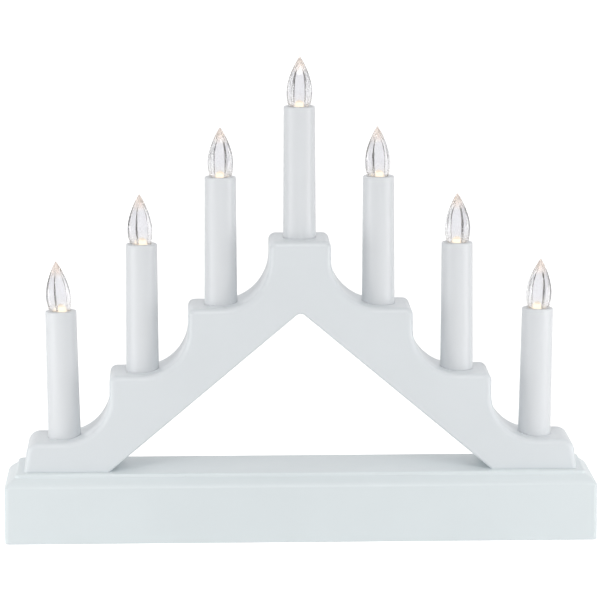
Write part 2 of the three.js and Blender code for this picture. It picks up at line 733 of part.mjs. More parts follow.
function candleSleeve(height) {
  const lid = height - CANDLE_LID;
  const neckHole = LENS_NECK_RADIUS + FIT_GAP;
  const profile = [
    point(CANDLE_FOOT_RADIUS - CANDLE_WALL, -CANDLE_INSERTION),
    point(CANDLE_FOOT_RADIUS, -CANDLE_INSERTION),
    point(CANDLE_FOOT_RADIUS, 0),
    point(CANDLE_TOP_RADIUS, height - CANDLE_RIM),
    point(CANDLE_TOP_RADIUS - CANDLE_RIM, height),
    point(neckHole, height),
    point(neckHole, lid),
    point(CANDLE_TOP_RADIUS - CANDLE_WALL, lid),
    point(CANDLE_FOOT_RADIUS - CANDLE_WALL, -CANDLE_INSERTION),
  ];
  return turned(profile, TUBE_FACETS);
}

// A hollow clear flame with flat facets, a solid tip and a neck for the sleeve
function flameLens() {
  const bore = (LED_RADIUS + FIT_GAP) / Math.cos(Math.PI / LENS_FACETS);
  const belly = point(LENS_BELLY_RADIUS, LENS_BELLY_HEIGHT);
  const seat = point(LENS_SEAT_RADIUS, FIT_GAP);
  const middle = (LENS_BELLY_HEIGHT + LENS_HEIGHT) / 2;
  const lower = new THREE.QuadraticBezierCurve(seat, point(LENS_BELLY_RADIUS, LENS_BELLY_HEIGHT / 2), belly);
  const upper = new THREE.CubicBezierCurve(
    belly,
    point(LENS_BELLY_RADIUS, (LENS_BELLY_HEIGHT + middle) / 2),
    point(LENS_TIP_FULLNESS, (middle + LENS_HEIGHT) / 2),
    point(0, LENS_HEIGHT),
  );
  const cavity = new THREE.CubicBezierCurve(
    point(0, LENS_CAVITY_HEIGHT),
    point(LENS_CAVITY_FULLNESS, middle),
    point(LENS_CAVITY_FULLNESS, LENS_BELLY_HEIGHT),
    point(bore, FIT_GAP),
  );
  const profile = [
    ...cavity.getPoints(4),
    point(bore, -LENS_NECK_LENGTH),
    point(LENS_NECK_RADIUS, -LENS_NECK_LENGTH),
    point(LENS_NECK_RADIUS, FIT_GAP),
    ...lower.getPoints(2),
    ...upper.getPoints(5).slice(1),
  ];
  return turned(profile, LENS_FACETS);
}

function led() {
  const foot = LED_STAND_PROUD - LED_HEIGHT;
  const domeMiddle = LED_STAND_PROUD - LED_RADIUS;
  const dome = arc(0, domeMiddle, LED_RADIUS, 0, Math.PI / 2, CORNER_FACETS);
  const profile = [
    point(0, foot),
    point(LED_FLANGE_RADIUS, foot),
    point(LED_FLANGE_RADIUS, foot + LED_FLANGE_HEIGHT),
    point(LED_RADIUS, foot + LED_FLANGE_HEIGHT),
    ...dome.slice(0, -1),
    point(0, LED_STAND_PROUD),
  ];
  return turned(profile, SMALL_FACETS);
}

// Screws, with the underside of the head at zero and the shank along +Z

function screw(length) {
  const profile = [
    point(0, -SCREW_HEAD_HEIGHT),
    point(SCREW_HEAD_RADIUS - SCREW_HEAD_EDGE, -SCREW_HEAD_HEIGHT),
    point(SCREW_HEAD_RADIUS, -SCREW_HEAD_HEIGHT / 2),
    point(SCREW_HEAD_RADIUS, 0),
    point(SCREW_RADIUS, 0),
    point(SCREW_RADIUS, length - SCREW_RADIUS),
    point(0, length),
  ];
  return turned(profile, SMALL_FACETS);
}

// Wires

function spot(x, y, z) {
  return new THREE.Vector3(x, y, z);
}

// Twin flex from the board up through the right foot, then along the arch above its opening
function trunkWire() {
  const along = (x) => spot(x, 0, slopeHeight(x, TRUNK_OFFSET));
  const bend = TRUNK_OFFSET + TRUNK_RADIUS;
  const start = boardX + BOARD_LENGTH / 2 - BOARD_PIN_INSET;
  const points = [
    spot(start, 0, boardTop + FIT_GAP),
    spot(start + FIT_GAP, 0, boardTop + bend),
    spot(wireX - bend, wireY - bend / 2, plateauHeight - 2 * bend),
    spot(wireX, wireY, plateauHeight - BASE_TOP - OVERRUN),
    spot(wireX, wireY, footBottom + ARCH_WALL + OVERRUN),
    spot(footInner + bend, wireY / 2, footBottom + ARCH_WALL + bend),
    along(footInner - bend),
    along(CANDLE_PITCH),
    along(CANDLE_PITCH / 2),
    spot(0, 0, slopeHeight(0, TRUNK_OFFSET) - TRUNK_CREST_DROP),
    along(-CANDLE_PITCH / 2),
    along(-CANDLE_PITCH),
    along(-footInner),
  ];
  return wire(points, TRUNK_RADIUS);
}

// Lead pair from an LED down its candle to the trunk
function ledLead(place) {
  const x = place * CANDLE_PITCH;
  const step = Math.abs(place);
  const side = Math.sign(place);
  const lean = leanOf(place);
  const drop = candleHeight(place) + LED_STAND_PROUD - LED_HEIGHT - FIT_GAP;
  const top = spot(x + drop * Math.sin(lean), 0, treadHeight(step) + drop * Math.cos(lean));
  const floor = treadHeight(step) - socketDepth;
  if (step === STEPS_EACH_SIDE) {
    const low = footBottom + ARCH_WALL + 2 * LEAD_RADIUS;
    const turn = 4 * LEAD_RADIUS;
    const route = [
      top,
      spot(x, 0, floor + turn),
      spot(x, 0, floor - SOCKET_FLOOR / 2),
      spot(x - side * turn, 0, low),
      spot(side * (footInner + turn), 0, low),
    ];
    return wire(route, LEAD_RADIUS);
  }
  const crest = place === 0 ? TRUNK_CREST_DROP : 0;
  const clear = (TRUNK_RADIUS + FIT_GAP) * slopeSec + LEAD_RADIUS * slopeTan;
  const end = slopeHeight(x, TRUNK_OFFSET) - crest + clear;
  return wire([top, spot(x, 0, end)], LEAD_RADIUS);
}

function leanOf(place) {
  return Math.abs(place) === STEPS_EACH_SIDE ? Math.sign(place) * OUTER_CANDLE_LEAN : 0;
}

// Lead from a contact's tail to the board, in front of or behind its middle
function batteryLead(end) {
  const tailX = end * (bayLength / 2 + BAY_WALL + TAIL_REACH);
  const y = end * cellPitch;
  const z = cellZ + TAIL_RAISE;
  const bend = 4 * BATTERY_LEAD_RADIUS;
  const over = bayRoof + BAY_WALL + bend;
  const landing = spot(boardX - BOARD_LENGTH / 2 + bend, end * bend, boardTop + FIT_GAP);
  const start = spot(tailX + end * (FIT_GAP + BATTERY_LEAD_RADIUS), y, z);
  const rise = spot(tailX + end * bend, y, z + bend);
  const above = spot(landing.x, landing.y, landing.z + bend);
  if (end > 0) {
    return wire([start, rise, above, landing], BATTERY_LEAD_RADIUS);
  }
  const crossing = [spot(-bayLength / 2, y, over), spot(bayLength / 2, y, over)];
  return wire([start, rise, ...crossing, above, landing], BATTERY_LEAD_RADIUS);
}

// Finishes

function finish(color, roughness, metalness = 0) {
  return { color, roughness, metalness };
}

const finishes = {
  whitePlastic: finish(0xe6eaeb, 0.38),
  candlePlastic: finish(0xeceeed, 0.32),
  clearAcrylic: finish(0xf4efe8, 0.05),
  warmLed: finish(0xffdc9a, 0.2),
  cellSleeve: finish(0x8a8f94, 0.35, 0.6),
  springSteel: finish(0xc9ccd0, 0.3, 1),
  board: finish(0x2f6a3f, 0.5),
  blackPlastic: finish(0x1d1d1f, 0.45),
  redInsulation: finish(0xb3261e, 0.5),
  blackInsulation: finish(0x222222, 0.5),
  clearFlex: finish(0xd9d9d2, 0.4),
  screwSteel: finish(0xb4b7ba, 0.35, 1),
};

function piece(name, geometry, finishName) {
  const mesh = new THREE.Mesh(geometry, new THREE.MeshStandardMaterial(finishes[finishName]));
  mesh.name = name;
  return mesh;
}

// Assembly

function baseGroup() {
  const group = new THREE.Group();
  group.add(piece("base_housing", baseHousing(), "whitePlastic"));
  group.add(piece("base_bottom_plate", bottomPlate(), "whitePlastic"));
  group.add(piece("battery_door", batteryDoor(), "whitePlastic"));
  baseScrewPlaces().forEach(([x, y], i) => {
    const fastener = piece(`base_screw_${i + 1}`, screw(BASE_SCREW_LENGTH), "screwSteel");
    fastener.position.set(x, y, baseScrewSeat);
    group.add(fastener);
  });
  return group;
}

function powerGroup() {
  const group = new THREE.Group();
  const nubEnd = bayLength / 2 - 2 * FIT_GAP - CONTACT_THICKNESS;
  for (let i = 0; i < CELL_COUNT; i += 1) {
    const end = i % 2 === 0 ? -1 : 1;
    const battery = piece(`battery_cell_${i + 1}`, cell(), "cellSleeve");
    battery.position.set(end * (nubEnd - CELL_LENGTH / 2), cellY(i), cellZ);
    battery.rotation.z = end > 0 ? Math.PI : 0;
    group.add(battery);
  }
  group.add(piece("contact_positive", contact(-1, [0], [], true), "springSteel"));
  group.add(piece("bridge_left", contact(-1, [1, 2], [1], false), "springSteel"));
  group.add(piece("bridge_right", contact(1, [0, 1], [0], false), "springSteel"));
  group.add(piece("contact_negative", contact(1, [2], [2], true), "springSteel"));
  group.add(piece("timer_board", timerBoard(), "board"));
  group.add(piece("switch_body", switchBody(), "screwSteel"));
  group.add(piece("switch_slider", switchSlider(), "blackPlastic"));
  group.add(piece("lead_positive", batteryLead(-1), "redInsulation"));
  group.add(piece("lead_negative", batteryLead(1), "blackInsulation"));
  return group;
}

function archGroup() {
  const group = new THREE.Group();
  group.add(piece("arch_front_shell", archFrontShell(), "whitePlastic"));
  group.add(piece("arch_back_cover", archBackCover(), "whitePlastic"));
  group.add(piece("trunk_wire", trunkWire(), "clearFlex"));
  coverScrewPlaces.forEach(({ x, z }, i) => {
    const fastener = piece(`cover_screw_${i + 1}`, screw(COVER_SCREW_LENGTH), "screwSteel");
    fastener.position.set(x, coverBack - SCREW_HEAD_HEIGHT, z);
    fastener.rotation.x = Math.PI / 2;
    group.add(fastener);
  });
  [-1, 1].forEach((side) => {
    const name = side < 0 ? "foot_screw_left" : "foot_screw_right";
    const fastener = piece(name, screw(FOOT_SCREW_LENGTH), "screwSteel");
    fastener.position.set(side * footScrewX, footScrewY, plateauHeight - BASE_TOP - FIT_GAP);
    group.add(fastener);
  });
  return group;
}

function candleGroup(place, number) {
  const group = new THREE.Group();
  const height = candleHeight(place);
  group.position.set(place * CANDLE_PITCH, 0, treadHeight(Math.abs(place)));
  group.rotation.y = leanOf(place);
  group.add(piece(`candle_sleeve_${number}`, candleSleeve(height), "candlePlastic"));
  const flame = new THREE.Group();
  flame.rotation.y = THREE.MathUtils.degToRad(LENS_LEANS[number - 1]);
  flame.position.z = height + LENS_SEAT_RADIUS * Math.sin(Math.abs(flame.rotation.y));
  const lens = piece(`flame_lens_${number}`, flameLens(), "clearAcrylic");
  lens.rotation.z = THREE.MathUtils.degToRad(LENS_TURNS[number - 1]);
  flame.add(lens);
  flame.add(piece(`led_${number}`, led(), "warmLed"));
  group.add(flame);
  return group;
}

const candleArch = new THREE.Group();
candleArch.add(baseGroup(), powerGroup(), archGroup());
candlePlaces.forEach((place, i) => {
  candleArch.add(candleGroup(place, i + 1));
  candleArch.add(piece(`led_lead_${i + 1}`, ledLead(place), "clearFlex"));
});

export default candleArch;
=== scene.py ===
"""Looks of a battery LED candle arch: seven candles with cut flames on a stepped arch."""

import math

import bmesh
import bpy
from bpy.props import FloatProperty, FloatVectorProperty, PointerProperty
from bpy.types import Operator, Panel, PropertyGroup
from mathutils import Matrix, Vector


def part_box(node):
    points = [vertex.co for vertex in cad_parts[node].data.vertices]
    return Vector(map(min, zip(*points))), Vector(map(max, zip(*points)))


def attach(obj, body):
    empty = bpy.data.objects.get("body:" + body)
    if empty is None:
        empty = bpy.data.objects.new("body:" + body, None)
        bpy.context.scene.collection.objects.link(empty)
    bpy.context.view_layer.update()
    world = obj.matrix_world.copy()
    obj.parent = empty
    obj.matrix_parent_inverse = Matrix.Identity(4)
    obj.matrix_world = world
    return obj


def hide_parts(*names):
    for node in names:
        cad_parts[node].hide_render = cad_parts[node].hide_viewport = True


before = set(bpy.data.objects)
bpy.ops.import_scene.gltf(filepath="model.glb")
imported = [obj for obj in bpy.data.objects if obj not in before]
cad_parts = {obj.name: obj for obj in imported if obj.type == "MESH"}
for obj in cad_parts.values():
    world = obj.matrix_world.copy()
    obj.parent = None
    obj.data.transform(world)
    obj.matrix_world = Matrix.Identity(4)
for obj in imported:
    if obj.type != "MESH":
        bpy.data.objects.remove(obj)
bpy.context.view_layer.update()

bl_info = {
    "name": "LED candle arch",
    "version": (1, 0, 0),
    "blender": (4, 5, 0),
    "location": "3D View > Sidebar > Candle arch",
    "description": "Builds the visible pieces of a seven light candle arch around its solid model",
    "category": "Object",
}

MM = 0.001
QUARTER = math.pi / 2

# Counts of what repeats
STEPS_EACH_SIDE = 3
CANDLE_PLACES = range(-STEPS_EACH_SIDE, STEPS_EACH_SIDE + 1)
FLAME_FACETS = 5
CELLS = (1, 2, 3)
MIDDLE_CELL = 2
SPRING_TURNS = 3.5
FINGER_GROOVES = 4

# Turn and lean of each flame from left to right, in degrees
FLAME_TURNS = (52, 50, 31, 35, 42, 26, 24)
FLAME_LEANS = (-4.2, -2.2, 0, 0.8, -1.2, 0, 2.4)

# Smoothness of round forms
COVE_STEPS = 26
NOSING_STEPS = 9
CROWN_STEPS = 8
EDGE_STEPS = 7
CORNER_STEPS = 6
FACET_STEPS = 6
COIL_STEPS = 28
TUBE_SIDES = 72
BAR_SIDES = 36
SMALL_SIDES = 24
WIRE_SIDES = 10
SHARP_ANGLE = math.radians(32)

# Levels of a noise between which tone and gloss change
NOISE_SPAN = (0.3, 0.7)

# Backdrop with its flags, and camera
WHITE = (1.0, 1.0, 1.0, 1.0)
FLAG_EDGES = (0.12, 0.42)
FLAG_OFFSET = 0.5
SENSOR_WIDTH = 36
CLIP_START, CLIP_END = 0.05, 50

HOUSING_LOW, HOUSING_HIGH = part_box("base_housing")


# Settings


def length(name, description, millimetres):
    return FloatProperty(
        name=name,
        description=description,
        default=millimetres * MM,
        min=0.0,
        precision=5,
        subtype="DISTANCE",
        unit="LENGTH",
    )


def angle(name, description, degrees):
    return FloatProperty(
        name=name,
        description=description,
        default=math.radians(degrees),
        subtype="ANGLE",
        unit="ROTATION",
    )


def colour(name, description, red, green, blue):
    return FloatVectorProperty(
        name=name,
        description=description,
        default=(red, green, blue),
        min=0.0,
        max=1.0,
        size=3,
        subtype="COLOR",
    )


def share(name, description, value, most=1.0):
    return FloatProperty(
        name=name,
        description=description,
        default=value,
        min=0.0,
        max=most,
        subtype="FACTOR",
    )


def wattage(name, description, watts):
    return FloatProperty(name=name, description=description, default=watts, unit="POWER")


def position(name, description, x, y, z):
    return FloatVectorProperty(
        name=name,
        description=description,
        default=(x, y, z),
        subtype="TRANSLATION",
        unit="LENGTH",
    )


class ArchSizes(PropertyGroup):
    """Sizes of the stepped arch and its back cover"""

    fit_gap: length("Fit gap", "Clearance between pieces that seat in one another", 0.3)
    pitch: length("Candle pitch", "Distance from candle to candle", 38.7)
    rise: length("Step rise", "Height from tread to tread", 32.9)
    lowest_tread: length("Lowest tread", "Height of the outer treads", 48.2)
    crown_reach: length("Crown reach", "Half width of the crown block", 15)
    block_reach: length("Block reach", "From a candle's axis to its block's outer face", 16.2)
    nosing: length("Nosing", "Radius of each block's outer corner", 3.4)
    end_reach: length("End reach", "From an outer candle's axis to the arch's end", 18.5)
    shoulder: length("Shoulder", "Radius of the corner over each foot", 6)
    flare: length("Foot flare", "How far the feet widen towards the plinth", 1)
    foot: length("Foot height", "Height at which the feet begin", 33.72)
    apex: length("Apex height", "Height of the opening's apex", 112.2)
    apex_round: length("Apex round", "Radius in the opening's apex", 3.2)
    slope: angle("Opening slope", "Slope of the opening's two sides", 40)
    depth: length("Depth", "Front to back depth of the arch", 35)
    front_edge: length("Front edge", "Rounding along the steps' front edge", 3)
    opening_edge: length("Opening edge", "Rounding along the opening's front edge", 1.1)
    back_edge: length("Back edge", "Rounding along the back rim", 0.5)
    foot_edge: length("Foot edge", "Rounding under the feet", 0.04)
    wall: length("Wall", "Wall of the hollow arch", 2)
    skin: length("Front skin", "Thickness of the arch's front", 2.2)
    socket: length("Socket radius", "Radius of the candle sockets", 8.22)
    socket_depth: length("Socket depth", "Depth of the candle sockets", 6.3)
    socket_wall: length("Socket wall", "Wall round each socket", 1.6)
    lead_hole: length("Lead hole", "Radius of the hole in a socket's floor", 2.2)
    cover: length("Cover thickness", "Thickness of the back cover", 2.4)
    cover_edge: length("Cover edge", "Rounding along the cover's edge", 0.35)
    post: length("Post radius", "Radius of the cover's screw posts", 3.2)
    boss: length("Boss radius", "Radius of the screw bosses", 3.5)
    wire_hole: length("Wire hole", "Radius of the wire's hole between plinth and foot", 1.8)
    wire_x: length("Wire place", "Sideways place of the wire's hole", 104.5)
    wire_y: length("Wire setback", "How far behind the middle the wire's hole is", 11)


class CandleSizes(PropertyGroup):
    """Sizes of the candle tubes"""

    foot_radius: length("Foot radius", "Radius at the tread", 8.1)
    top_radius: length("Top radius", "Radius at the top", 7.7)
    height: length("Height", "Height above the tread", 63)
    middle_extra: length("Middle extra", "Extra height of the middle candle", 1.5)
    insertion: length("Insertion", "Length inside the socket", 6)
    wall: length("Wall", "Wall of the tube", 1.8)
    lid: length("Lid", "Thickness of the lid", 2)
    rim: length("Rim", "Rounding of the top rim", 0.7)
    lean: angle("Outer lean", "Outward lean of the two outer candles", 1.05)


class FlameSizes(PropertyGroup):
    """Sizes of the clear flames and their LEDs"""

    height: length("Height", "Height above the candle's lid", 24.15)
    seat: length("Seat", "Height of the seat above the lid", 0.3)
    seat_radius: length("Seat radius", "Ridge radius at the seat", 5.8)
    belly_radius: length("Belly radius", "Ridge radius at the widest place", 6.8)
    belly_height: length("Belly height", "Height of the widest place", 6.6)
    tip_fullness: length("Tip fullness", "Radius that the upper curve aims for", 3.5)
    tip_radius: length("Tip radius", "Radius of the blunted tip", 0.14)
    ridge: share("Ridge", "Share of a facet's width that its ridge takes", 0.022)
    bulge: share("Bulge", "How far a facet swells, as a share of its radius", 0.035)
    neck_radius: length("Neck radius", "Radius of the neck in the lid", 4.3)
    neck_length: length("Neck length", "Length of the neck", 4)
    bore: length("Bore radius", "Radius of the bore for the LED", 2.8)
    cavity_fullness: length("Cavity fullness", "Radius that the cavity's curve aims for", 4.6)
    cavity_height: length("Cavity height", "Height of the cavity above the lid", 20.5)
    led_radius: length("LED radius", "Radius of the LED", 2.5)
    led_height: length("LED height", "Height of the LED", 8.6)
    led_proud: length("LED proud", "Height of the LED above the lid", 3)
    flange_radius: length("LED flange radius", "Radius of the LED's flange", 2.9)
    flange_height: length("LED flange height", "Height of the LED's flange", 1)


class PlinthSizes(PropertyGroup):
    """Sizes of the plinth, its bottom plate and its battery door"""

    width: length("Width", "Width of the plinth", (HOUSING_HIGH.x - HOUSING_LOW.x) / MM)
    depth: length("Depth", "Depth of the plinth", (HOUSING_HIGH.y - HOUSING_LOW.y) / MM)
    height: length("Height", "Height of the plinth", (HOUSING_HIGH.z - HOUSING_LOW.z) / MM)
    face: length("Face height", "Height of the plain faces", 27.2)
    ovolo_run: length("Ovolo run", "Inward run of the lower moulding", 2.4)
    ovolo_rise: length("Ovolo rise", "Height of the lower moulding", 2.7)
    ovolo_bulge: length("Ovolo bulge", "Swell of the lower moulding", 0.3)
    slope_run: length("Slope run", "Inward run of the upper moulding", 4)
    crest: length("Crest", "Radius of the plateau's rounded edge", 1.2)
    fillet: length("Fillet", "Height of the upright fillet under the crest", 0.5)
    corner: length("Corner", "Radius of the upright corners", 2.6)
    wall: length("Wall", "Wall of the plinth", 2.2)
    hem: length("Hem", "Rounding along the lower edge", 0.3)
    boss: length("Boss radius", "Radius of the screw bosses", 3.5)
    plate: length("Plate", "Thickness of the bottom plate", 2.6)
    pad_height: length("Pad height", "Height of the screw pads above the plate", 1.4)
    pad_radius: length("Pad radius", "Radius of the screw pads", 4)
    post: length("Post radius", "Radius of the posts under the circuit board", 2.2)
    pin: length("Pin radius", "Radius of the pins through the circuit board", 1)
    pin_inset: length("Pin inset", "From the circuit board's edges to the pins", 4)
    pin_rise: length("Pin rise", "Height of the pins above the circuit board's underside", 2.6)
    bay_length: length("Bay length", "Length of the battery bay", 57.1)
    bay_width: length("Bay width", "Width of the battery bay", 44.2)
    bay_roof: length("Bay roof", "Height of the bay's ceiling", 17.2)
    bay_wall: length("Bay wall", "Wall of the bay", 1.4)
    rim_height: length("Rim height", "Height of the thicker rim round the bay", 1.6)
    rim_width: length("Rim width", "Width of the thicker rim round the bay", 3)
    door_lap: length("Door lap", "How far the door laps the bay's edge", 1.4)
    door_lift: length("Door lift", "Height of the door above the table", 0.4)
    door_thickness: length("Door thickness", "Thickness of the door", 2)
    hinge_setback: length("Hinge setback", "From the door's back edge to its hinge", 1.6)
    lug_radius: length("Lug radius", "Radius of the hinge lugs", 0.6)
    lug_length: length("Lug length", "Length of the hinge lugs", 2)
    tongue_width: length("Tongue width", "Width of the spring tongue", 12)
    tongue_length: length("Tongue length", "Length of the spring tongue", 9)
    slit: length("Slit", "Width of the slits beside the tongue", 0.8)
    nib_width: length("Nib width", "Width of the latch nib", 8)
    nib_depth: length("Nib depth", "How far the nib stands out", 0.5)
    nib_height: length("Nib height", "Height of the nib", 0.8)
    groove_pitch: length("Groove pitch", "Distance between the finger grooves", 1.6)
    groove_width: length("Groove width", "Width of a finger groove", 0.7)
    groove_depth: length("Groove depth", "Depth of a finger groove", 0.4)
    soft_edge: length("Soft edge", "Rounding of moulded edges", 0.2)


class PowerSizes(PropertyGroup):
    """Sizes of the cells, contacts, switch and screws"""

    cell_radius: length("Cell radius", "Radius of a cell", 7.1)
    cell_length: length("Cell length", "Length of a cell over its nub", 50.3)
    cell_space: length("Cell space", "Gap between cells", 0.4)
    cell_crimp: length("Cell crimp", "Rounding of a cell's ends", 0.7)
    nub_radius: length("Nub radius", "Radius of a cell's nub", 2.7)
    nub_length: length("Nub length", "Length of a cell's nub", 1.2)
    contact: length("Contact thickness", "Thickness of the contact plates", 0.5)
    contact_size: length("Contact size", "Height of the contact plates", 11)
    tail_width: length("Tail width", "Width of a solder tail", 2)
    tail_raise: length("Tail raise", "Height of a tail above the cell's axis", 4)
    tail_reach: length("Tail reach", "Reach of a tail past the bay's wall", 2.5)
    spring_length: length("Spring length", "Length of a contact spring", 4.6)
    spring_foot: length("Spring foot", "Radius of a spring's first turn", 4.4)
    spring_tip: length("Spring tip", "Radius of a spring's last turn", 2.2)
    spring_wire: length("Spring wire", "Radius of the spring wire", 0.35)
    travel: length("Switch travel", "Travel of the switch", 4)
    knob_length: length("Knob length", "Length of the switch knob", 4)
    knob_width: length("Knob width", "Width of the switch knob", 3)
    knob_head: length("Knob head", "Thickness of the slider above the knob", 1.8)
    knob_groove: length("Knob groove", "Depth of the grooves across the knob", 0.35)
    knob_edge: length("Knob edge", "Rounding of the knob's edges", 0.12)
    recess: length("Switch recess", "Depth of the recess round the knob", 1)
    recess_margin: length("Recess margin", "Room round the knob's slot", 3)
    screw_radius: length("Screw radius", "Radius of a screw's shank", 1.3)
    head_radius: length("Head radius", "Radius of a screw's head", 2.6)
    head_height: length("Head height", "Height of a screw's head", 1.5)
    thread_pitch: length("Thread pitch", "Distance between thread crests", 1)
    thread_root: share("Thread root", "Radius between the crests, as a share of the shank's", 0.8)
    recess_width: length("Cross width", "Width of the cross recess", 0.6)
    recess_length: length("Cross length", "Length of the cross recess", 3)
    recess_depth: length("Cross depth", "Depth of the cross recess", 0.9)


class FinishColours(PropertyGroup):
    """Colours and gloss of the finishes"""

    # The arch's white is set a little darker than the plinth's
    arch: colour("Arch", "Cool white of the arch", 0.765, 0.800, 0.822)
    plinth: colour("Plinth", "Cool white of the plinth", 0.785, 0.842, 0.858)
    candle: colour("Candle", "White of the candle tubes", 0.775, 0.795, 0.815)
    flame: colour("Flame", "Clear plastic of the flames", 0.91, 0.91, 0.93)
    # Painted glow: a warm tint in a flame's tip that stands in for the LED's light gathered there
    flame_tip_painted_glow: colour("Flame tip", "Warm tint in a flame's tip", 1.0, 0.90, 0.85)
    glow: colour("Glow", "Light of the LEDs", 1.0, 0.86, 0.66)
    steel: colour("Steel", "Screws and contacts", 0.58, 0.59, 0.60)
    sleeve: colour("Cell sleeve", "Grey of a cell's sleeve", 0.24, 0.27, 0.30)
    band: colour("Cell band", "Paler end of a cell's sleeve", 0.55, 0.57, 0.58)
    can: colour("Cell can", "Bare steel at a cell's ends", 0.62, 0.63, 0.64)
    board: colour("Board", "Lacquer of the circuit board", 0.02, 0.14, 0.05)
    knob: colour("Knob", "Plastic of the switch knob", 0.02, 0.02, 0.022)
    red_wire: colour("Red wire", "Insulation of the positive lead", 0.42, 0.02, 0.015)
    black_wire: colour("Black wire", "Insulation of the negative lead", 0.02, 0.02, 0.02)
    flex: colour("Flex", "Insulation of the wires to the LEDs", 0.62, 0.62, 0.58)
    body_gloss: share("Body roughness", "Roughness of the arch and the plinth", 0.33)
    candle_gloss: share("Candle roughness", "Roughness of the candle tubes", 0.34)
    knob_gloss: share("Knob roughness", "Roughness of the switch knob", 0.42)
    steel_gloss: share("Steel roughness", "Roughness of the screws and the switch can", 0.28)
    contact_gloss: share("Contact roughness", "Roughness of the battery contacts", 0.22)
    glow_strength: share("Glow strength", "Strength of the LEDs", 0.95, 20.0)
    # Painted glow: strength of the emission in a flame's foot and tip, standing in for the LED's
    # light gathered there
    painted_flame_glow: share("Tip glow", "Strength of the light gathered in a flame's foot and tip", 0.055)


class StageSettings(PropertyGroup):
    """Camera, floor and studio light"""

    camera_place: position("Camera place", "Where the camera stands", -0.057301, -1.797081, 0.398629)
    camera_yaw: angle("Camera yaw", "Turn of the camera to the right", 1.83233)
    camera_dip: angle("Camera dip", "How far the camera looks down", 8.94632)
    camera_roll: angle("Camera roll", "Roll of the camera", -0.09844)
    lens: FloatProperty(
        name="Lens",
        description="Focal length of the camera",
        default=222.211,
        subtype="DISTANCE_CAMERA",
    )
    floor: colour("Floor", "Colour of the pale floor", 0.92, 0.92, 0.92)
    floor_reach: length("Floor reach", "From the floor's middle to its edges", 6000)
    floor_drop: length("Floor drop", "Gap between the floor and the plinth", 0.2)
    floor_lap: length("Floor lap", "How far the floor reaches in under the plinth", 0.6)
    floor_lift: share("Floor lift", "Added brightness of the floor where it is seen", 0.70)
    floor_gloss: share("Floor in gloss", "Share of that brightness in gloss and clear plastic", 0.85)
    room: share("Room light", "Level of the soft light from all round", 0.54)
    flag: colour("Flag", "Dark flags that gloss and clear plastic pick up", 0.30, 0.30, 0.33)
    wall: colour("Wall", "Pale walls between the flags", 0.96, 0.96, 0.98)
    side_lamps: wattage("Side lamps", "Power of each of the two side lamps", 0.70)
    side_place: position("Side lamp place", "Where the right side lamp stands", 0.48, -0.19, 0.10)
    side_size: length("Side lamp size", "Width of a side lamp", 350)
    front_lamp: wattage("Front lamp", "Power of the lamp above the camera", 2.6)
    front_place: position("Front lamp place", "Where the front lamp stands", 0, -0.85, 0.95)
    front_size: length("Front lamp size", "Width of the front lamp", 400)
    lamp_aim: position("Lamp aim", "What the lamps point at", 0, 0, 0.05)


class CandleArchSettings(PropertyGroup):
    """All settings of the candle arch"""

    arch: PointerProperty(type=ArchSizes)
    candles: PointerProperty(type=CandleSizes)
    flames: PointerProperty(type=FlameSizes)
    plinth: PointerProperty(type=PlinthSizes)
    power: PointerProperty(type=PowerSizes)
    finishes: PointerProperty(type=FinishColours)
    stage: PointerProperty(type=StageSettings)


# Outlines and solids


def spread(start, end, steps):
    """Evenly spaced values from start to end, both included."""
    return [start + (end - start) * i / steps for i in range(steps + 1)]


def arc(x, y, radius, start, end, steps):
    return [(x + radius * math.cos(a), y + radius * math.sin(a)) for a in spread(start, end, steps)]


def circle(radius, sides):
    return arc(0, 0, radius, 0, 2 * math.pi, sides)[:-1]


def bezier(points, steps):
    """Points along the Bezier curve with these control points."""
    curve = []
    for t in spread(0, 1, steps):
        level = [Vector(p) for p in points]
        while len(level) > 1:
            level = [a.lerp(b, t) for a, b in zip(level, level[1:])]
        curve.append(tuple(level[0]))
    return curve


def rounded_rectangle(width, depth, radius):
    x, y = width / 2 - radius, depth / 2 - radius
    points = []
    for turn, (cx, cy) in enumerate(((x, y), (-x, y), (-x, -y), (x, -y))):
        points += arc(cx, cy, radius, turn * QUARTER, (turn + 1) * QUARTER, CORNER_STEPS)
    return points


def rectangle(x, y):
    return [(x[0], y[0]), (x[1], y[0]), (x[1], y[1]), (x[0], y[1])]


def skinned(solid, rings):
    """Rows of new points on these rings of equal point count, with faces from row to row."""
    rows = [[solid.verts.new(p) for p in ring] for ring in rings]
    for lower, upper in zip(rows, rows[1:]):
        for i, vert in enumerate(lower):
            after = (i + 1) % len(lower)
            solid.faces.new((vert, lower[after], upper[after], upper[i]))
    return rows


def loft(rings):
    """A closed solid through rings of equal point count, with a face over each end."""
    solid = bmesh.new()
    rows = skinned(solid, rings)
    solid.faces.new(rows[0][::-1])
    solid.faces.new(rows[-1])
    bmesh.ops.recalc_face_normals(solid, faces=solid.faces)
    return solid


def turned(profile, sides, closed=False):
    """A solid of revolution about Z from (radius, height) points."""
    solid = bmesh.new()
    rows = []
    for radius, height in profile:
        ring = circle(radius, sides) if radius > 0 else [(0, 0)]
        rows.append([solid.verts.new((x, y, height)) for x, y in ring])
    pairs = list(zip(rows, rows[1:]))
    if closed:
        pairs.append((rows[-1], rows[0]))
    for lower, upper in pairs:
        for i in range(sides):
            after = (i + 1) % sides
            corners = [
                lower[i % len(lower)],
                lower[after % len(lower)],
                upper[after % len(upper)],
                upper[i % len(upper)],
            ]
            solid.faces.new(list(dict.fromkeys(corners)))
    bmesh.ops.recalc_face_normals(solid, faces=solid.faces)
    return solid


def placed(solid, matrix):
    bmesh.ops.transform(solid, matrix=matrix, verts=solid.verts)
    return solid


def moved(solid, x, y, z):
    return placed(solid, Matrix.Translation((x, y, z)))


def about(middle, size):
    return middle - size / 2, middle + size / 2


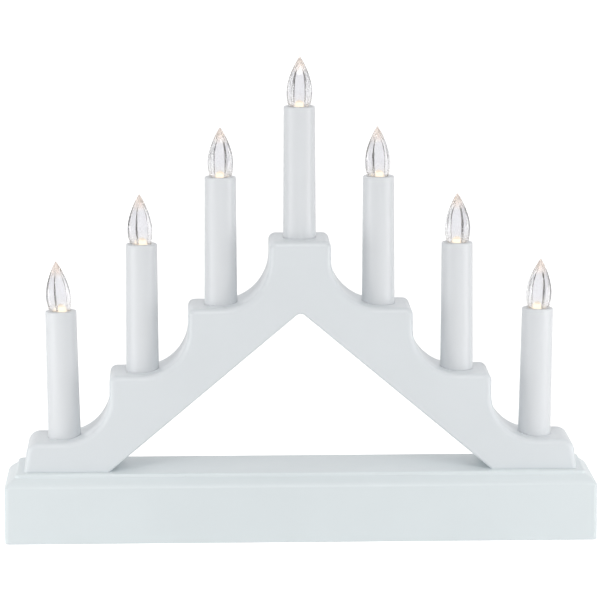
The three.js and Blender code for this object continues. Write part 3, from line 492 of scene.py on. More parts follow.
def block(x, y, z):
    return loft([[(*corner, height) for corner in rectangle(x, y)] for height in z])


def slab(width, depth, radius, z):
    outline = rounded_rectangle(width, depth, radius)
    return loft([[(*p, height) for p in outline] for height in z])


def upright_bar(radius, z, x, y, sides=BAR_SIDES):
    ring = circle(radius, sides)
    return moved(loft([[(*p, height) for p in ring] for height in z]), x, y, 0)


def front_to_back_bar(radius, y, x, z, sides=BAR_SIDES):
    ring = circle(radius, sides)
    return moved(loft([[(p[0], place, p[1]) for p in ring] for place in y]), x, 0, z)


def crosswise_bar(radius, x, y, z):
    ring = circle(radius, SMALL_SIDES)
    return moved(loft([[(place, p[0], p[1]) for p in ring] for place in x]), 0, y, z)


def as_mesh(name, solid):
    mesh = bpy.data.meshes.new(name)
    solid.to_mesh(mesh)
    solid.free()
    return mesh


def as_object(name, data):
    made = bpy.data.objects.new(name, data)
    bpy.context.scene.collection.objects.link(made)
    return made


def gathered(solids):
    """Several separate solids in one mesh."""
    whole = bmesh.new()
    for solid in solids:
        part = as_mesh("part", solid)
        whole.from_mesh(part)
        bpy.data.meshes.remove(part)
    return whole


def worked(solid, tools, operation):
    """The solid after each tool is added to it, cut from it or crossed with it."""
    body, *helpers = [as_object("bench", as_mesh("bench", form)) for form in (solid, *tools)]
    for helper in helpers:
        step = body.modifiers.new("step", "BOOLEAN")
        step.operation = operation
        step.solver = "MANIFOLD"
        step.object = helper
    result = bmesh.new()
    result.from_object(body, bpy.context.evaluated_depsgraph_get())
    for used in (body, *helpers):
        mesh = used.data
        bpy.data.objects.remove(used)
        bpy.data.meshes.remove(mesh)
    if not result.faces:
        raise RuntimeError("working the solid left nothing of it")
    return result


def joined(solid, *tools):
    return worked(solid, tools, "UNION")


def cut(solid, *tools):
    return worked(solid, tools, "DIFFERENCE")


def crossed(solid, *tools):
    return worked(solid, tools, "INTERSECT")


def softened(solid, radius, steps=2):
    """The solid with its sharp edges rounded."""
    sharp = [e for e in solid.edges if e.is_manifold and e.calc_face_angle() > SHARP_ANGLE]
    bmesh.ops.bevel(
        solid,
        geom=sharp,
        offset=radius,
        offset_type="OFFSET",
        segments=steps,
        profile=0.5,
        affect="EDGES",
        clamp_overlap=True,
    )
    return solid


def show(name, solid, finish, nodes, body="candle_arch", place=None):
    """Makes a visible piece that stands for these CAD nodes and rides on a body."""
    mesh = as_mesh(name, solid)
    mesh.materials.append(finish)
    mesh.polygons.foreach_set("use_smooth", [True] * len(mesh.polygons))
    mesh.set_sharp_from_angle(angle=SHARP_ANGLE)
    piece = as_object(name, mesh)
    if place is not None:
        piece.matrix_world = place
    even = piece.modifiers.new("even shading", "WEIGHTED_NORMAL")
    even.keep_sharp = True
    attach(piece, body)
    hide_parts(*nodes)


# Finishes


def feed(tree, target, inputs):
    """Links or sets a node's inputs."""
    for socket, value in inputs.items():
        if isinstance(value, bpy.types.NodeSocket):
            tree.links.new(value, target.inputs[socket])
        else:
            target.inputs[socket].default_value = value


def node(tree, kind, inputs=None, **settings):
    made = tree.nodes.new(kind)
    for key, value in settings.items():
        setattr(made, key, value)
    feed(tree, made, inputs or {})
    return made


def cleared_tree(owner):
    owner.use_nodes = True
    owner.node_tree.nodes.clear()
    return owner.node_tree


def blank_finish(name):
    finish = bpy.data.materials.get(name) or bpy.data.materials.new(name)
    tree = cleared_tree(finish)
    shader = node(tree, "ShaderNodeBsdfPrincipled")
    node(tree, "ShaderNodeOutputMaterial", {"Surface": shader.outputs[0]})
    place = node(tree, "ShaderNodeTexCoord").outputs["Object"]
    return finish, tree, shader, place


def reckoned(tree, operation, *values):
    return node(tree, "ShaderNodeMath", dict(enumerate(values)), operation=operation).outputs[0]


def mixed(tree, factor, first, second):
    return node(tree, "ShaderNodeMixShader", {0: factor, 1: first, 2: second}).outputs[0]


def noise(tree, place, scale, detail):
    inputs = {"Vector": place, "Scale": scale, "Detail": detail}
    return node(tree, "ShaderNodeTexNoise", inputs).outputs[0]


def ramp(tree, factor, *stops, steady=False):
    """A ramp through (position, colour or grey level) stops, or one steady from stop to stop."""
    made = node(tree, "ShaderNodeValToRGB", {"Fac": factor})
    if steady:
        made.color_ramp.interpolation = "CONSTANT"
    elements = made.color_ramp.elements
    while len(elements) < len(stops):
        elements.new(1.0)
    for element, (place, shade) in zip(elements, stops):
        element.position = place
        element.color = (shade, shade, shade, 1.0) if isinstance(shade, float) else (*shade, 1.0)
    return made.outputs["Color"]


def shaded(base, factor):
    return tuple(min(1.0, channel * factor) for channel in base)


def ranged(tree, factor, low, high, start, end):
    inputs = {"Value": factor, "From Min": start, "From Max": end, "To Min": low, "To Max": high}
    return node(tree, "ShaderNodeMapRange", inputs).outputs[0]


def uneven(tree, place, scale, detail, low, high):
    """A level that wanders between low and high."""
    return ranged(tree, noise(tree, place, scale, detail), low, high, *NOISE_SPAN)


def mottled(tree, place, scale, base, low, high):
    """A colour in soft clouds between two shares of its brightness."""
    start, end = NOISE_SPAN
    clouds = noise(tree, place, scale, 3)
    return ramp(tree, clouds, (start, shaded(base, low)), (end, shaded(base, high)))


def upward(tree, place, low, high):
    """Height between two levels, from 0 to 1."""
    height = node(tree, "ShaderNodeSeparateXYZ", {"Vector": place}).outputs["Z"]
    return ranged(tree, height, 0, 1, low, high)


def bump(tree, height, strength, distance):
    inputs = {"Height": height, "Strength": strength, "Distance": distance}
    return node(tree, "ShaderNodeBump", inputs).outputs[0]


def moulded_plastic(name, base, roughness, tone_spread=0.012, grain=0.10):
    """Plastic from a mould: soft clouds of tone, a fine spark-eroded grain and uneven gloss."""
    finish, tree, shader, place = blank_finish(name)
    inputs = {
        "Base Color": mottled(tree, place, 24, base, 1 - tone_spread, 1 + tone_spread),
        "Roughness": uneven(tree, place, 160, 4, roughness * 0.88, roughness * 1.12),
        "Normal": bump(tree, noise(tree, place, 900, 3), grain, 0.02 * MM),
    }
    feed(tree, shader, inputs)
    return finish


def clear_acrylic(name, colours, height):
    """Clear plastic, frosted round the LED, with painted glow: emission in its foot and warm tip
    stands in for the LED's light gathered there.
    """
    finish, tree, shader, place = blank_finish(name)
    level = upward(tree, place, 0, height)
    base, tip, glow = colours.flame, colours.flame_tip_painted_glow, colours.glow
    inputs = {
        # The warm tint in the upper part is painted glow, standing in for the LED's light gathered
        # in the tip
        "Base Color": ramp(tree, level, (0.0, base), (0.66, base), (0.88, tip), (1.0, tip)),
        "Roughness": ramp(tree, level, (0.06, 0.30), (0.26, 0.08), (0.66, 0.08), (0.85, 0.3)),
        "Transmission Weight": ramp(tree, level, (0.0, 0.92), (0.70, 0.92), (0.90, 0.6), (1.0, 0.5)),
        # Painted glow: the foot and the tip emit the LED's colour, standing in for its light
        # gathered there
        "Emission Color": ramp(tree, level, (0.0, glow), (0.24, 0.0), (0.60, 0.0), (0.88, glow)),
        "Emission Strength": colours.painted_flame_glow,
        "IOR": 1.49,
        "Normal": bump(tree, noise(tree, place, 140, 1), 0.06, 0.3 * MM),
    }
    feed(tree, shader, inputs)
    return finish


def glowing_led(name, glow, strength, height):
    """Warm resin that glows most at the chip in its middle."""
    finish, tree, shader, place = blank_finish(name)
    level = upward(tree, place, 0, height)
    tint = ramp(tree, level, (0.0, glow), (0.35, glow), (1.0, shaded(glow, 0.55)))
    inputs = {
        "Base Color": tint,
        "Emission Color": tint,
        "Emission Strength": strength,
        "Roughness": 0.2,
    }
    feed(tree, shader, inputs)
    return finish


def plated_steel(name, base, roughness):
    """Plated steel with fine drawing marks and a little uneven tone."""
    finish, tree, shader, place = blank_finish(name)
    inputs = {
        "Base Color": mottled(tree, place, 300, base, 0.85, 1.1),
        "Metallic": 1.0,
        "Roughness": uneven(tree, place, 700, 4, roughness * 0.7, roughness * 1.4),
        "Normal": bump(tree, noise(tree, place, 700, 4), 0.08, 0.02 * MM),
    }
    feed(tree, shader, inputs)
    return finish


def cell_sleeve(name, colours, length_of_cell):
    """Plain shrunk sleeve: grey, with a paler end beside the nub and bare steel over both ends."""
    finish, tree, shader, place = blank_finish(name)
    level = upward(tree, place, *about(0, length_of_cell))
    foot, pale, nub = 0.012, 0.86, 0.955
    tones = [(0.0, colours.can), (foot, colours.sleeve), (pale, colours.band), (nub, colours.can)]
    inputs = {
        "Base Color": ramp(tree, level, *tones, steady=True),
        "Metallic": ramp(tree, level, (0.0, 1.0), (foot, 0.25), (nub, 1.0), steady=True),
        "Roughness": uneven(tree, place, 220, 3, 0.22, 0.34),
        "Normal": bump(tree, noise(tree, place, 500, 2), 0.05, 0.02 * MM),
    }
    feed(tree, shader, inputs)
    return finish


def lacquered_board(name, base):
    """Green lacquer over copper tracks."""
    finish, tree, shader, place = blank_finish(name)
    pattern = {"Vector": place, "Scale": 260.0, "Mortar Size": 0.03}
    tracks = node(tree, "ShaderNodeTexBrick", pattern).outputs["Fac"]
    inputs = {
        "Base Color": ramp(tree, tracks, (0.0, base), (1.0, shaded(base, 2.2))),
        "Roughness": uneven(tree, place, 300, 3, 0.28, 0.4),
        "Normal": bump(tree, tracks, 0.2, 0.03 * MM),
    }
    feed(tree, shader, inputs)
    return finish


def wire_insulation(name, base):
    """Soft extruded insulation with a faint waxy unevenness."""
    finish, tree, shader, place = blank_finish(name)
    inputs = {
        "Base Color": mottled(tree, place, 90, base, 0.9, 1.1),
        "Roughness": uneven(tree, place, 400, 3, 0.42, 0.56),
        "Normal": bump(tree, noise(tree, place, 600, 2), 0.1, 0.02 * MM),
    }
    feed(tree, shader, inputs)
    return finish


def arch_plastic(colours):
    return moulded_plastic("arch_plastic_finish", colours.arch, colours.body_gloss)


def plinth_plastic(colours):
    return moulded_plastic("plinth_plastic_finish", colours.plinth, colours.body_gloss)


# Arch


def tread_height(arch, step):
    return arch.lowest_tread + (STEPS_EACH_SIDE - step) * arch.rise


def block_reach(arch, step):
    reaches = {0: arch.crown_reach, STEPS_EACH_SIDE: arch.end_reach}
    return reaches.get(step, arch.block_reach)


def slope_height(arch, x, offset):
    return arch.apex + offset / math.cos(arch.slope) - math.tan(arch.slope) * abs(x)


def arch_ring(arch, y, inset, opening_y=None, opening_inset=None, floor_inset=None):
    """One closed ring round the arch, set in from its outline and from its opening."""
    opening_y = y if opening_y is None else opening_y
    opening_inset = inset if opening_inset is None else opening_inset
    floor = arch.foot + (inset if floor_inset is None else floor_inset)
    side = []
    for step in range(STEPS_EACH_SIDE + 1):
        axis = step * arch.pitch
        tread = tread_height(arch, step)
        reach = block_reach(arch, step)
        if step:
            cove = arch.pitch - block_reach(arch, step - 1)
            side += arc(axis, tread + cove, cove + inset, math.pi, 1.5 * math.pi, COVE_STEPS)
        corner = arch.shoulder if step == STEPS_EACH_SIDE else arch.nosing
        x, z = axis + reach - corner, tread - corner
        side += arc(x, z, corner - inset, QUARTER, 0, NOSING_STEPS)
    half_foot = STEPS_EACH_SIDE * arch.pitch + arch.end_reach + arch.flare
    side.append((half_foot - inset, floor))
    outer = [(x, y, z) for x, z in side]
    inner = (slope_height(arch, 0, opening_inset) - floor) / math.tan(arch.slope)
    outer.append((inner, opening_y, floor))
    middle = arch.apex - arch.apex_round / math.cos(arch.slope)
    lean = QUARTER - arch.slope
    top = arc(0, middle, arch.apex_round + opening_inset, lean, math.pi - lean, NOSING_STEPS)
    crest = [(x, opening_y, z) for x, z in top]
    return outer + crest + [(-x, depth, z) for x, depth, z in reversed(outer)]


def arch_front_rings(arch):
    """Rings over the rounded front edges, from the front face back."""
    front = -arch.depth / 2
    rings = []
    for turn in spread(0, QUARTER, EDGE_STEPS):
        out, back = 1 - math.sin(turn), 1 - math.cos(turn)
        rings.append(
            arch_ring(
                arch,
                front + arch.front_edge * back,
                arch.front_edge * out,
                front + arch.opening_edge * back,
                arch.opening_edge * out,
                arch.foot_edge * out,
            )
        )
    return rings


def arch_tray(arch):
    """The hollow arch, open at the back."""
    back = arch.depth / 2
    rings = arch_front_rings(arch)
    for turn in spread(0, QUARTER, CORNER_STEPS):
        inset = arch.back_edge * (1 - math.cos(turn))
        rings.append(arch_ring(arch, back - arch.back_edge * (1 - math.sin(turn)), inset))
    rings.append(arch_ring(arch, back, arch.wall))
    rings.append(arch_ring(arch, arch.skin - back, arch.wall))
    return loft(rings)


def arch_core(arch):
    """The arch's form out to the middle of its walls."""
    return loft([arch_ring(arch, y, arch.wall / 2) for y in about(0, arch.depth)])


def node_middle(name):
    low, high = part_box(name)
    return (low + high) / 2


def screw_nodes(group):
    return sorted(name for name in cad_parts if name.startswith(f"{group}_screw"))


def arch_shell(settings):
    arch = settings.arch
    collars, bores = [], []
    for place in CANDLE_PLACES:
        x, tread = place * arch.pitch, tread_height(arch, abs(place))
        floor = tread - arch.socket_depth
        collar = (floor - arch.socket_wall, tread + 2 * arch.wall)
        collars.append(upright_bar(arch.socket + arch.socket_wall, collar, x, 0, TUBE_SIDES))
        profile = [
            (0, floor - 2 * arch.socket_wall),
            (arch.lead_hole, floor - 2 * arch.socket_wall),
            (arch.lead_hole, floor),
            (arch.socket, floor),
            (arch.socket, tread + arch.socket),
            (0, tread + arch.socket),
        ]
        bores.append(moved(turned(profile, TUBE_SIDES), x, 0, 0))
    front, cover_front = -arch.depth / 2, arch.depth / 2 - arch.fit_gap - arch.cover
    post_end = cover_front - arch.fit_gap
    hole = settings.power.screw_radius + arch.fit_gap
    posts, bosses = [], []
    for name in screw_nodes("cover"):
        middle, tip = node_middle(name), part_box(name)[0].y
        span = (front + arch.skin / 2, post_end)
        posts.append(front_to_back_bar(arch.post, span, middle.x, middle.z))
        bores.append(front_to_back_bar(hole, (tip, arch.depth), middle.x, middle.z, SMALL_SIDES))
    for name in screw_nodes("foot"):
        middle, tip = node_middle(name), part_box(name)[1].z
        span = (arch.foot + arch.wall / 2, arch.lowest_tread - arch.wall / 2)
        bosses.append(upright_bar(arch.boss, span, middle.x, middle.y))
        bores.append(upright_bar(hole, (0, tip), middle.x, middle.y, SMALL_SIDES))
    passage = (0, arch.foot + 2 * arch.wall)
    bores.append(upright_bar(arch.wire_hole, passage, arch.wire_x, arch.wire_y, SMALL_SIDES))
    fittings = crossed(gathered(collars), arch_core(arch))
    shell = joined(arch_tray(arch), fittings, gathered(posts), gathered(bosses))
    return cut(shell, gathered(bores))


def back_cover(settings):
    arch, power = settings.arch, settings.power
    back = arch.depth / 2 - arch.fit_gap
    inset = arch.wall + arch.fit_gap
    edge = arch.cover_edge
    rings = [arch_ring(arch, back - arch.cover, inset)]
    for turn in spread(0, QUARTER, CORNER_STEPS):
        y = back - edge * (1 - math.sin(turn))
        rings.append(arch_ring(arch, y, inset + edge * (1 - math.cos(turn))))
    holes = []
    for name in screw_nodes("cover"):
        middle = node_middle(name)
        seat = back - power.head_height - arch.fit_gap
        profile = [
            (0, back - 2 * arch.cover),
            (power.screw_radius + arch.fit_gap, back - 2 * arch.cover),
            (power.screw_radius + arch.fit_gap, seat),
            (power.head_radius + arch.fit_gap, seat),
            (power.head_radius + arch.fit_gap, back - edge),
            (power.head_radius + arch.fit_gap + edge, back),
            (power.head_radius + arch.fit_gap + 2 * edge, back + edge),
            (0, back + edge),
        ]
        hole = placed(turned(profile, BAR_SIDES), Matrix.Rotation(-QUARTER, 4, "X"))
        holes.append(moved(hole, middle.x, 0, middle.z))
    return cut(loft(rings), gathered(holes))


class CANDLE_ARCH_OT_arch(Operator):
    """Build the stepped arch and its back cover"""

    bl_idname = "candle_arch.arch"
    bl_label = "Arch and back cover"

    def execute(self, context):
        settings = context.scene.candle_arch
        finish = arch_plastic(settings.finishes)
        show("stepped_arch", arch_shell(settings), finish, ["arch_front_shell"])
        show("back_panel", back_cover(settings), finish, ["arch_back_cover"])
        return {"FINISHED"}


# Plinth


def plinth_ring(plinth, inset, z):
    width, depth = plinth.width - 2 * inset, plinth.depth - 2 * inset
    return [(*p, z) for p in rounded_rectangle(width, depth, plinth.corner)]


def plinth_profile(plinth):
    """Inset and height of the plinth's skin, from its hem up to the plateau."""
    run = plinth.ovolo_run + plinth.slope_run
    top = plinth.face + plinth.ovolo_rise
    hem = arc(plinth.hem, plinth.hem, plinth.hem, 1.5 * math.pi, math.pi, CORNER_STEPS)
    half_run, half_rise = plinth.ovolo_run / 2, plinth.ovolo_rise / 2
    bend = (half_run - plinth.ovolo_bulge, plinth.face + half_rise + plinth.ovolo_bulge)
    ovolo = bezier([(0, plinth.face), bend, (plinth.ovolo_run, top)], EDGE_STEPS)
    spring = plinth.height - plinth.crest
    fillet = (run - plinth.crest, spring - plinth.fillet)
    crest = arc(run, spring, plinth.crest, math.pi, QUARTER, 2 * CORNER_STEPS)
    return [*hem, *ovolo, fillet, *crest]


def plinth_housing(settings):
    plinth, arch = settings.plinth, settings.arch
    run = plinth.ovolo_run + plinth.slope_run
    ceiling = plinth.height - plinth.wall
    rings = [
        plinth_ring(plinth, run + plinth.wall / 2, ceiling),
        plinth_ring(plinth, plinth.wall, plinth.face - plinth.wall / 2),
        plinth_ring(plinth, plinth.wall, 0),
    ]
    rings += [plinth_ring(plinth, inset, z) for inset, z in plinth_profile(plinth)]
    hole = settings.power.screw_radius + arch.fit_gap
    foot = plinth.plate + plinth.pad_height + arch.fit_gap
    bosses, holes = [], []
    for name in screw_nodes("base"):
        middle, tip = node_middle(name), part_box(name)[1].z
        span = (foot, ceiling + plinth.wall / 2)
        bosses.append(upright_bar(plinth.boss, span, middle.x, middle.y))
        holes.append(upright_bar(hole, (0, tip), middle.x, middle.y, SMALL_SIDES))
    passage = (ceiling - hole, 2 * ceiling)
    for name in screw_nodes("foot"):
        middle = node_middle(name)
        holes.append(upright_bar(hole, passage, middle.x, middle.y, SMALL_SIDES))
    holes.append(upright_bar(arch.wire_hole, passage, arch.wire_x, arch.wire_y, SMALL_SIDES))
    return cut(joined(loft(rings), gathered(bosses)), gathered(holes))


def door_length(plinth):
    return plinth.bay_length + 2 * plinth.door_lap


def door_depth(plinth):
    return plinth.bay_width + 2 * plinth.door_lap


def hinge_place(plinth):
    y = door_depth(plinth) / 2 - plinth.hinge_setback
    return y, plinth.door_lift + plinth.door_thickness / 2


def cell_seat(settings):
    """Height of the plane that the cells lie on."""
    plinth = settings.plinth
    return plinth.door_lift + plinth.door_thickness + settings.arch.fit_gap


def cell_pitch(power):
    return 2 * power.cell_radius + power.cell_space


def bottom_plate(settings):
    plinth, power, gap = settings.plinth, settings.power, settings.arch.fit_gap
    inset = plinth.wall + gap
    width, depth = plinth.width - 2 * inset, plinth.depth - 2 * inset
    recess_length, recess_depth = door_length(plinth) + 2 * gap, door_depth(plinth) + 2 * gap
    seat = cell_seat(settings)
    below = -plinth.plate
    rim_top = plinth.plate + plinth.rim_height
    bay = (plinth.bay_length + 2 * plinth.bay_wall, plinth.bay_width + 2 * plinth.bay_wall)
    pad_top = plinth.plate + plinth.pad_height
    additions = [
        block(about(0, recess_length + 2 * plinth.rim_width), about(0, depth), (0, rim_top)),
        slab(*bay, plinth.corner, (0, plinth.bay_roof + plinth.bay_wall)),
    ]
    hinge_y, hinge_z = hinge_place(plinth)
    sweep = plinth.hinge_setback + gap
    lug_reach = recess_length + 2 * (plinth.lug_length + gap)
    nib_front = -recess_depth / 2 - plinth.nib_depth - gap
    slot_length = power.travel + power.knob_length + 2 * gap
    slot_width = power.knob_width + 2 * gap
    switch_x = node_middle("switch_body").x
    room = 2 * power.recess_margin
    recess = slab(slot_length + room, slot_width + room, plinth.corner, (below, power.recess))
    hinge_room = (hinge_y - sweep, recess_depth / 2)
    cuts = [
        block(about(0, recess_length), about(0, recess_depth), (below, seat)),
        block(about(0, plinth.bay_length), about(0, plinth.bay_width), (below, plinth.bay_roof)),
        block(about(0, recess_length), hinge_room, (below, hinge_z + sweep)),
        crosswise_bar(plinth.lug_radius + gap, about(0, lug_reach), hinge_y, hinge_z),
        block(about(0, plinth.nib_width + 2 * gap), (nib_front, 0), (below, seat)),
        moved(recess, switch_x, 0, 0),
        block(about(switch_x, slot_length), about(0, slot_width), (below, 2 * plinth.plate)),
    ]
    for end in (-1, 1):
        x = end * (plinth.bay_length + plinth.bay_wall) / 2
        y = about(end * cell_pitch(power), power.tail_width + 2 * gap)
        z = about(seat + power.cell_radius + power.tail_raise, power.contact + 2 * gap)
        cuts.append(block(about(x, 2 * plinth.bay_wall), y, z))
    for name in screw_nodes("base"):
        middle = node_middle(name)
        additions.append(upright_bar(plinth.pad_radius, (0, pad_top), middle.x, middle.y))
        head = power.head_radius + gap
        deep = power.head_height + 2 * gap
        profile = [
            (0, below),
            (head, below),
            (head, deep),
            (power.screw_radius + gap, deep),
            (power.screw_radius + gap, 2 * pad_top),
            (0, 2 * pad_top),
        ]
        cuts.append(moved(turned(profile, BAR_SIDES), middle.x, middle.y, 0))
    low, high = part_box("timer_board")
    post, pin = (0, low.z - gap), (0, low.z + plinth.pin_rise)
    for x in (low.x + plinth.pin_inset, high.x - plinth.pin_inset):
        for y in (low.y + plinth.pin_inset, high.y - plinth.pin_inset):
            additions.append(upright_bar(plinth.post, post, x, y, SMALL_SIDES))
            additions.append(upright_bar(plinth.pin, pin, x, y, SMALL_SIDES))
    plate = joined(slab(width, depth, plinth.corner, (0, plinth.plate)), *additions)
    return softened(cut(plate, *cuts), plinth.soft_edge, 1)


class CANDLE_ARCH_OT_plinth(Operator):
    """Build the plinth and its bottom plate"""

    bl_idname = "candle_arch.plinth"
    bl_label = "Plinth and bottom plate"

    def execute(self, context):
        settings = context.scene.candle_arch
        finish = plinth_plastic(settings.finishes)
        show("plinth", plinth_housing(settings), finish, ["base_housing"])
        show("bottom_cover", bottom_plate(settings), finish, ["base_bottom_plate"])
        return {"FINISHED"}


# Battery door


def battery_lid(settings):
    plinth = settings.plinth
    half = door_depth(plinth) / 2
    long = door_length(plinth)
    hinge_y, hinge_z = hinge_place(plinth)
    round_edge = plinth.door_thickness / 2
    top = plinth.door_lift + plinth.door_thickness
    section = [
        (-half, plinth.door_lift),
        *arc(half - round_edge, hinge_z, round_edge, -QUARTER, QUARTER, 2 * CORNER_STEPS),
        (-half, top),
    ]
    panel = loft([[(x, *p) for p in section] for x in about(0, long)])
    lug_span = about(0, long + 2 * plinth.lug_length)
    lugs = crosswise_bar(plinth.lug_radius, lug_span, hinge_y, hinge_z)
    nib_y = (-half - plinth.nib_depth, plinth.nib_depth - half)
    nib = block(about(0, plinth.nib_width), nib_y, about(hinge_z, plinth.nib_height))
    cuts = []
    through = (-plinth.door_lift, 2 * top)
    for side in (-1, 1):
        x = about(side * (plinth.tongue_width + plinth.slit) / 2, plinth.slit)
        cuts.append(block(x, (-2 * half, plinth.tongue_length - half), through))
    deep = (-plinth.door_lift, plinth.door_lift + plinth.groove_depth)
    for number in range(1, FINGER_GROOVES + 1):
        y = about(number * plinth.groove_pitch - half, plinth.groove_width)
        cuts.append(block(about(0, plinth.nib_width), y, deep))
    return softened(cut(joined(panel, lugs, nib), *cuts), plinth.soft_edge)


class CANDLE_ARCH_OT_battery_door(Operator):
    """Build the hinged battery door"""

    bl_idname = "candle_arch.battery_door"
    bl_label = "Battery door"

    def execute(self, context):
        settings = context.scene.candle_arch
        lid = battery_lid(settings)
        finish = plinth_plastic(settings.finishes)
        show("battery_lid", lid, finish, ["battery_door"], "battery_door")
        return {"FINISHED"}


# Candles


def candle_frame(settings, place):
    """The frame of one candle, with its tread at zero and its lean."""
    arch, candles = settings.arch, settings.candles
    spot = (place * arch.pitch, 0, tread_height(arch, abs(place)))
    outer = abs(place) == STEPS_EACH_SIDE
    lean = math.copysign(candles.lean, place) if outer else 0
    return Matrix.Translation(spot) @ Matrix.Rotation(lean, 4, "Y")


def candle_height(settings, place):
    candles = settings.candles
    return candles.height + (0 if place else candles.middle_extra)


def candle_tube(settings, height):
    candles, flames = settings.candles, settings.flames
    hole = flames.neck_radius + settings.arch.fit_gap
    rim = candles.rim
    crown = arc(candles.top_radius - rim, height - rim, rim, 0, QUARTER, CORNER_STEPS)
    inner_foot = candles.foot_radius - candles.wall
    profile = [
        (inner_foot, -candles.insertion),
        (candles.foot_radius, -candles.insertion),
        (candles.foot_radius, 0),
        *crown,
        (hole + rim / 2, height),
        (hole, height - rim / 2),
        (hole, height - candles.lid),
        (candles.top_radius - candles.wall, height - candles.lid),
    ]
    return turned(profile, TUBE_SIDES, closed=True)


class CANDLE_ARCH_OT_candles(Operator):
    """Build the seven candle tubes"""

    bl_idname = "candle_arch.candles"
    bl_label = "Candles"

    def execute(self, context):
        settings = context.scene.candle_arch
        colours = settings.finishes
        gloss = colours.candle_gloss
        finish = moulded_plastic("candle_plastic_finish", colours.candle, gloss, grain=0.06)
        for number, place in enumerate(CANDLE_PLACES, 1):
            tube = candle_tube(settings, candle_height(settings, place))
            nodes = [f"candle_sleeve_{number}"]
            spot = candle_frame(settings, place)
            show(f"candle_{number}", tube, finish, nodes, place=spot)
        return {"FINISHED"}


# Flames and LEDs


def facet_ring(flames, radius, z):
    """A five sided ring with flat, slightly swelling sides and narrow ridges."""
    corners = [Vector(p) for p in circle(radius, FLAME_FACETS)]
    ring = []
    for i, corner in enumerate(corners):
        after = corners[(i + 1) % FLAME_FACETS]
        for t in spread(flames.ridge, 1 - flames.ridge, FACET_STEPS):
            side = corner.lerp(after, t)
            swell = side.normalized() * flames.bulge * radius * 4 * t * (1 - t)
            ring.append((*(side + swell), z))
    return ring


def round_ring(pattern, radius, z):
    """A round ring whose points stand at the same angles as another ring's."""
    return [(*(Vector(p[:2]).normalized() * radius), z) for p in pattern]


def flame(settings):
    """A hollow flame with flat facets, a solid tip and a neck for the candle's lid."""
    flames = settings.flames
    belly = (flames.belly_radius, flames.belly_height)
    middle = (flames.belly_height + flames.height) / 2
    upper = bezier(
        [
            belly,
            (flames.belly_radius, (flames.belly_height + middle) / 2),
            (flames.tip_fullness, (middle + flames.height) / 2),
            (0, flames.height),
        ],
        3 * CORNER_STEPS,
    )
    lower = bezier(
        [
            (flames.seat_radius, flames.seat),
            (flames.belly_radius, flames.belly_height / 2),
            belly,
        ],
        CORNER_STEPS,
    )
    upper[-1] = (flames.tip_radius, flames.height)
    outline = [*reversed(upper), *reversed(lower[:-1])]
    rings = [facet_ring(flames, radius, z) for radius, z in outline]
    pattern = rings[-1]
    neck = flames.neck_radius
    bore = flames.bore / math.cos(math.pi / FLAME_FACETS)
    cavity = bezier(
        [
            (bore, flames.seat),
            (flames.cavity_fullness, flames.belly_height),
            (flames.cavity_fullness, middle),
            (0, flames.cavity_height),
        ],
        2 * CORNER_STEPS,
    )
    cavity[-1] = (flames.tip_radius, flames.cavity_height)
    rings += [
        round_ring(pattern, neck, flames.seat),
        round_ring(pattern, neck, -flames.neck_length),
        facet_ring(flames, bore, -flames.neck_length),
    ]
    rings += [facet_ring(flames, radius, z) for radius, z in cavity]
    return loft(rings)


def led(settings):
    flames = settings.flames
    foot = flames.led_proud - flames.led_height
    dome = flames.led_proud - flames.led_radius
    crown = arc(0, dome, flames.led_radius, 0, QUARTER, EDGE_STEPS)
    profile = [
        (0, foot),
        (flames.flange_radius, foot),
        (flames.flange_radius, foot + flames.flange_height),
        (flames.led_radius, foot + flames.flange_height),
        *crown[:-1],
        (0, flames.led_proud),
    ]
    return turned(profile, BAR_SIDES)


class CANDLE_ARCH_OT_flames(Operator):
    """Build the seven clear flames and the LEDs that stand in them"""

    bl_idname = "candle_arch.flames"
    bl_label = "Flames and LEDs"

    def execute(self, context):
        settings = context.scene.candle_arch
        colours, flames = settings.finishes, settings.flames
        clear = clear_acrylic("clear_acrylic_painted_glow_finish", colours, flames.height)
        strength, proud = colours.glow_strength, flames.led_proud
        glow = glowing_led("warm_led_finish", colours.glow, strength, proud)
        kinds = zip(CANDLE_PLACES, FLAME_TURNS, FLAME_LEANS)
        for number, (place, turn, lean) in enumerate(kinds, 1):
            lean = math.radians(lean)
            lift = candle_height(settings, place) + flames.seat_radius * math.sin(abs(lean))
            tilt = Matrix.Translation((0, 0, lift)) @ Matrix.Rotation(lean, 4, "Y")
            top = candle_frame(settings, place) @ tilt
            spot = top @ Matrix.Rotation(math.radians(turn) - QUARTER, 4, "Z")
            nodes = [f"flame_lens_{number}"]
            show(f"flame_{number}", flame(settings), clear, nodes, place=spot)
            show(f"lamp_{number}", led(settings), glow, [f"led_{number}"], place=top)
        return {"FINISHED"}


# Screws


def screw(power, long):
    """A pan head screw with a cross recess, its head's underside at zero and its shank along Z."""
    head, shank, high = power.head_radius, power.screw_radius, power.head_height
    crown = bezier([(head, -high / 2), (head, -high), (0, -high)], CROWN_STEPS)
    root = shank * power.thread_root
    crests = int((long - 2 * shank) / power.thread_pitch)
    thread = []
    for i in range(crests):
        start = shank + i * power.thread_pitch
        thread += [(root, start), (shank, start + power.thread_pitch / 2)]
    profile = [
        (0, -high),
        *reversed(crown[:-1]),
        (head, 0),
        (shank, 0),
        *thread,
        (root, long - shank),
        (0, long),
    ]
    deep = (-2 * high, power.recess_depth - high)
    along, across = about(0, power.recess_length), about(0, power.recess_width)
    arms = block(along, across, deep), block(across, along, deep)
    return cut(turned(profile, SMALL_SIDES), *arms)


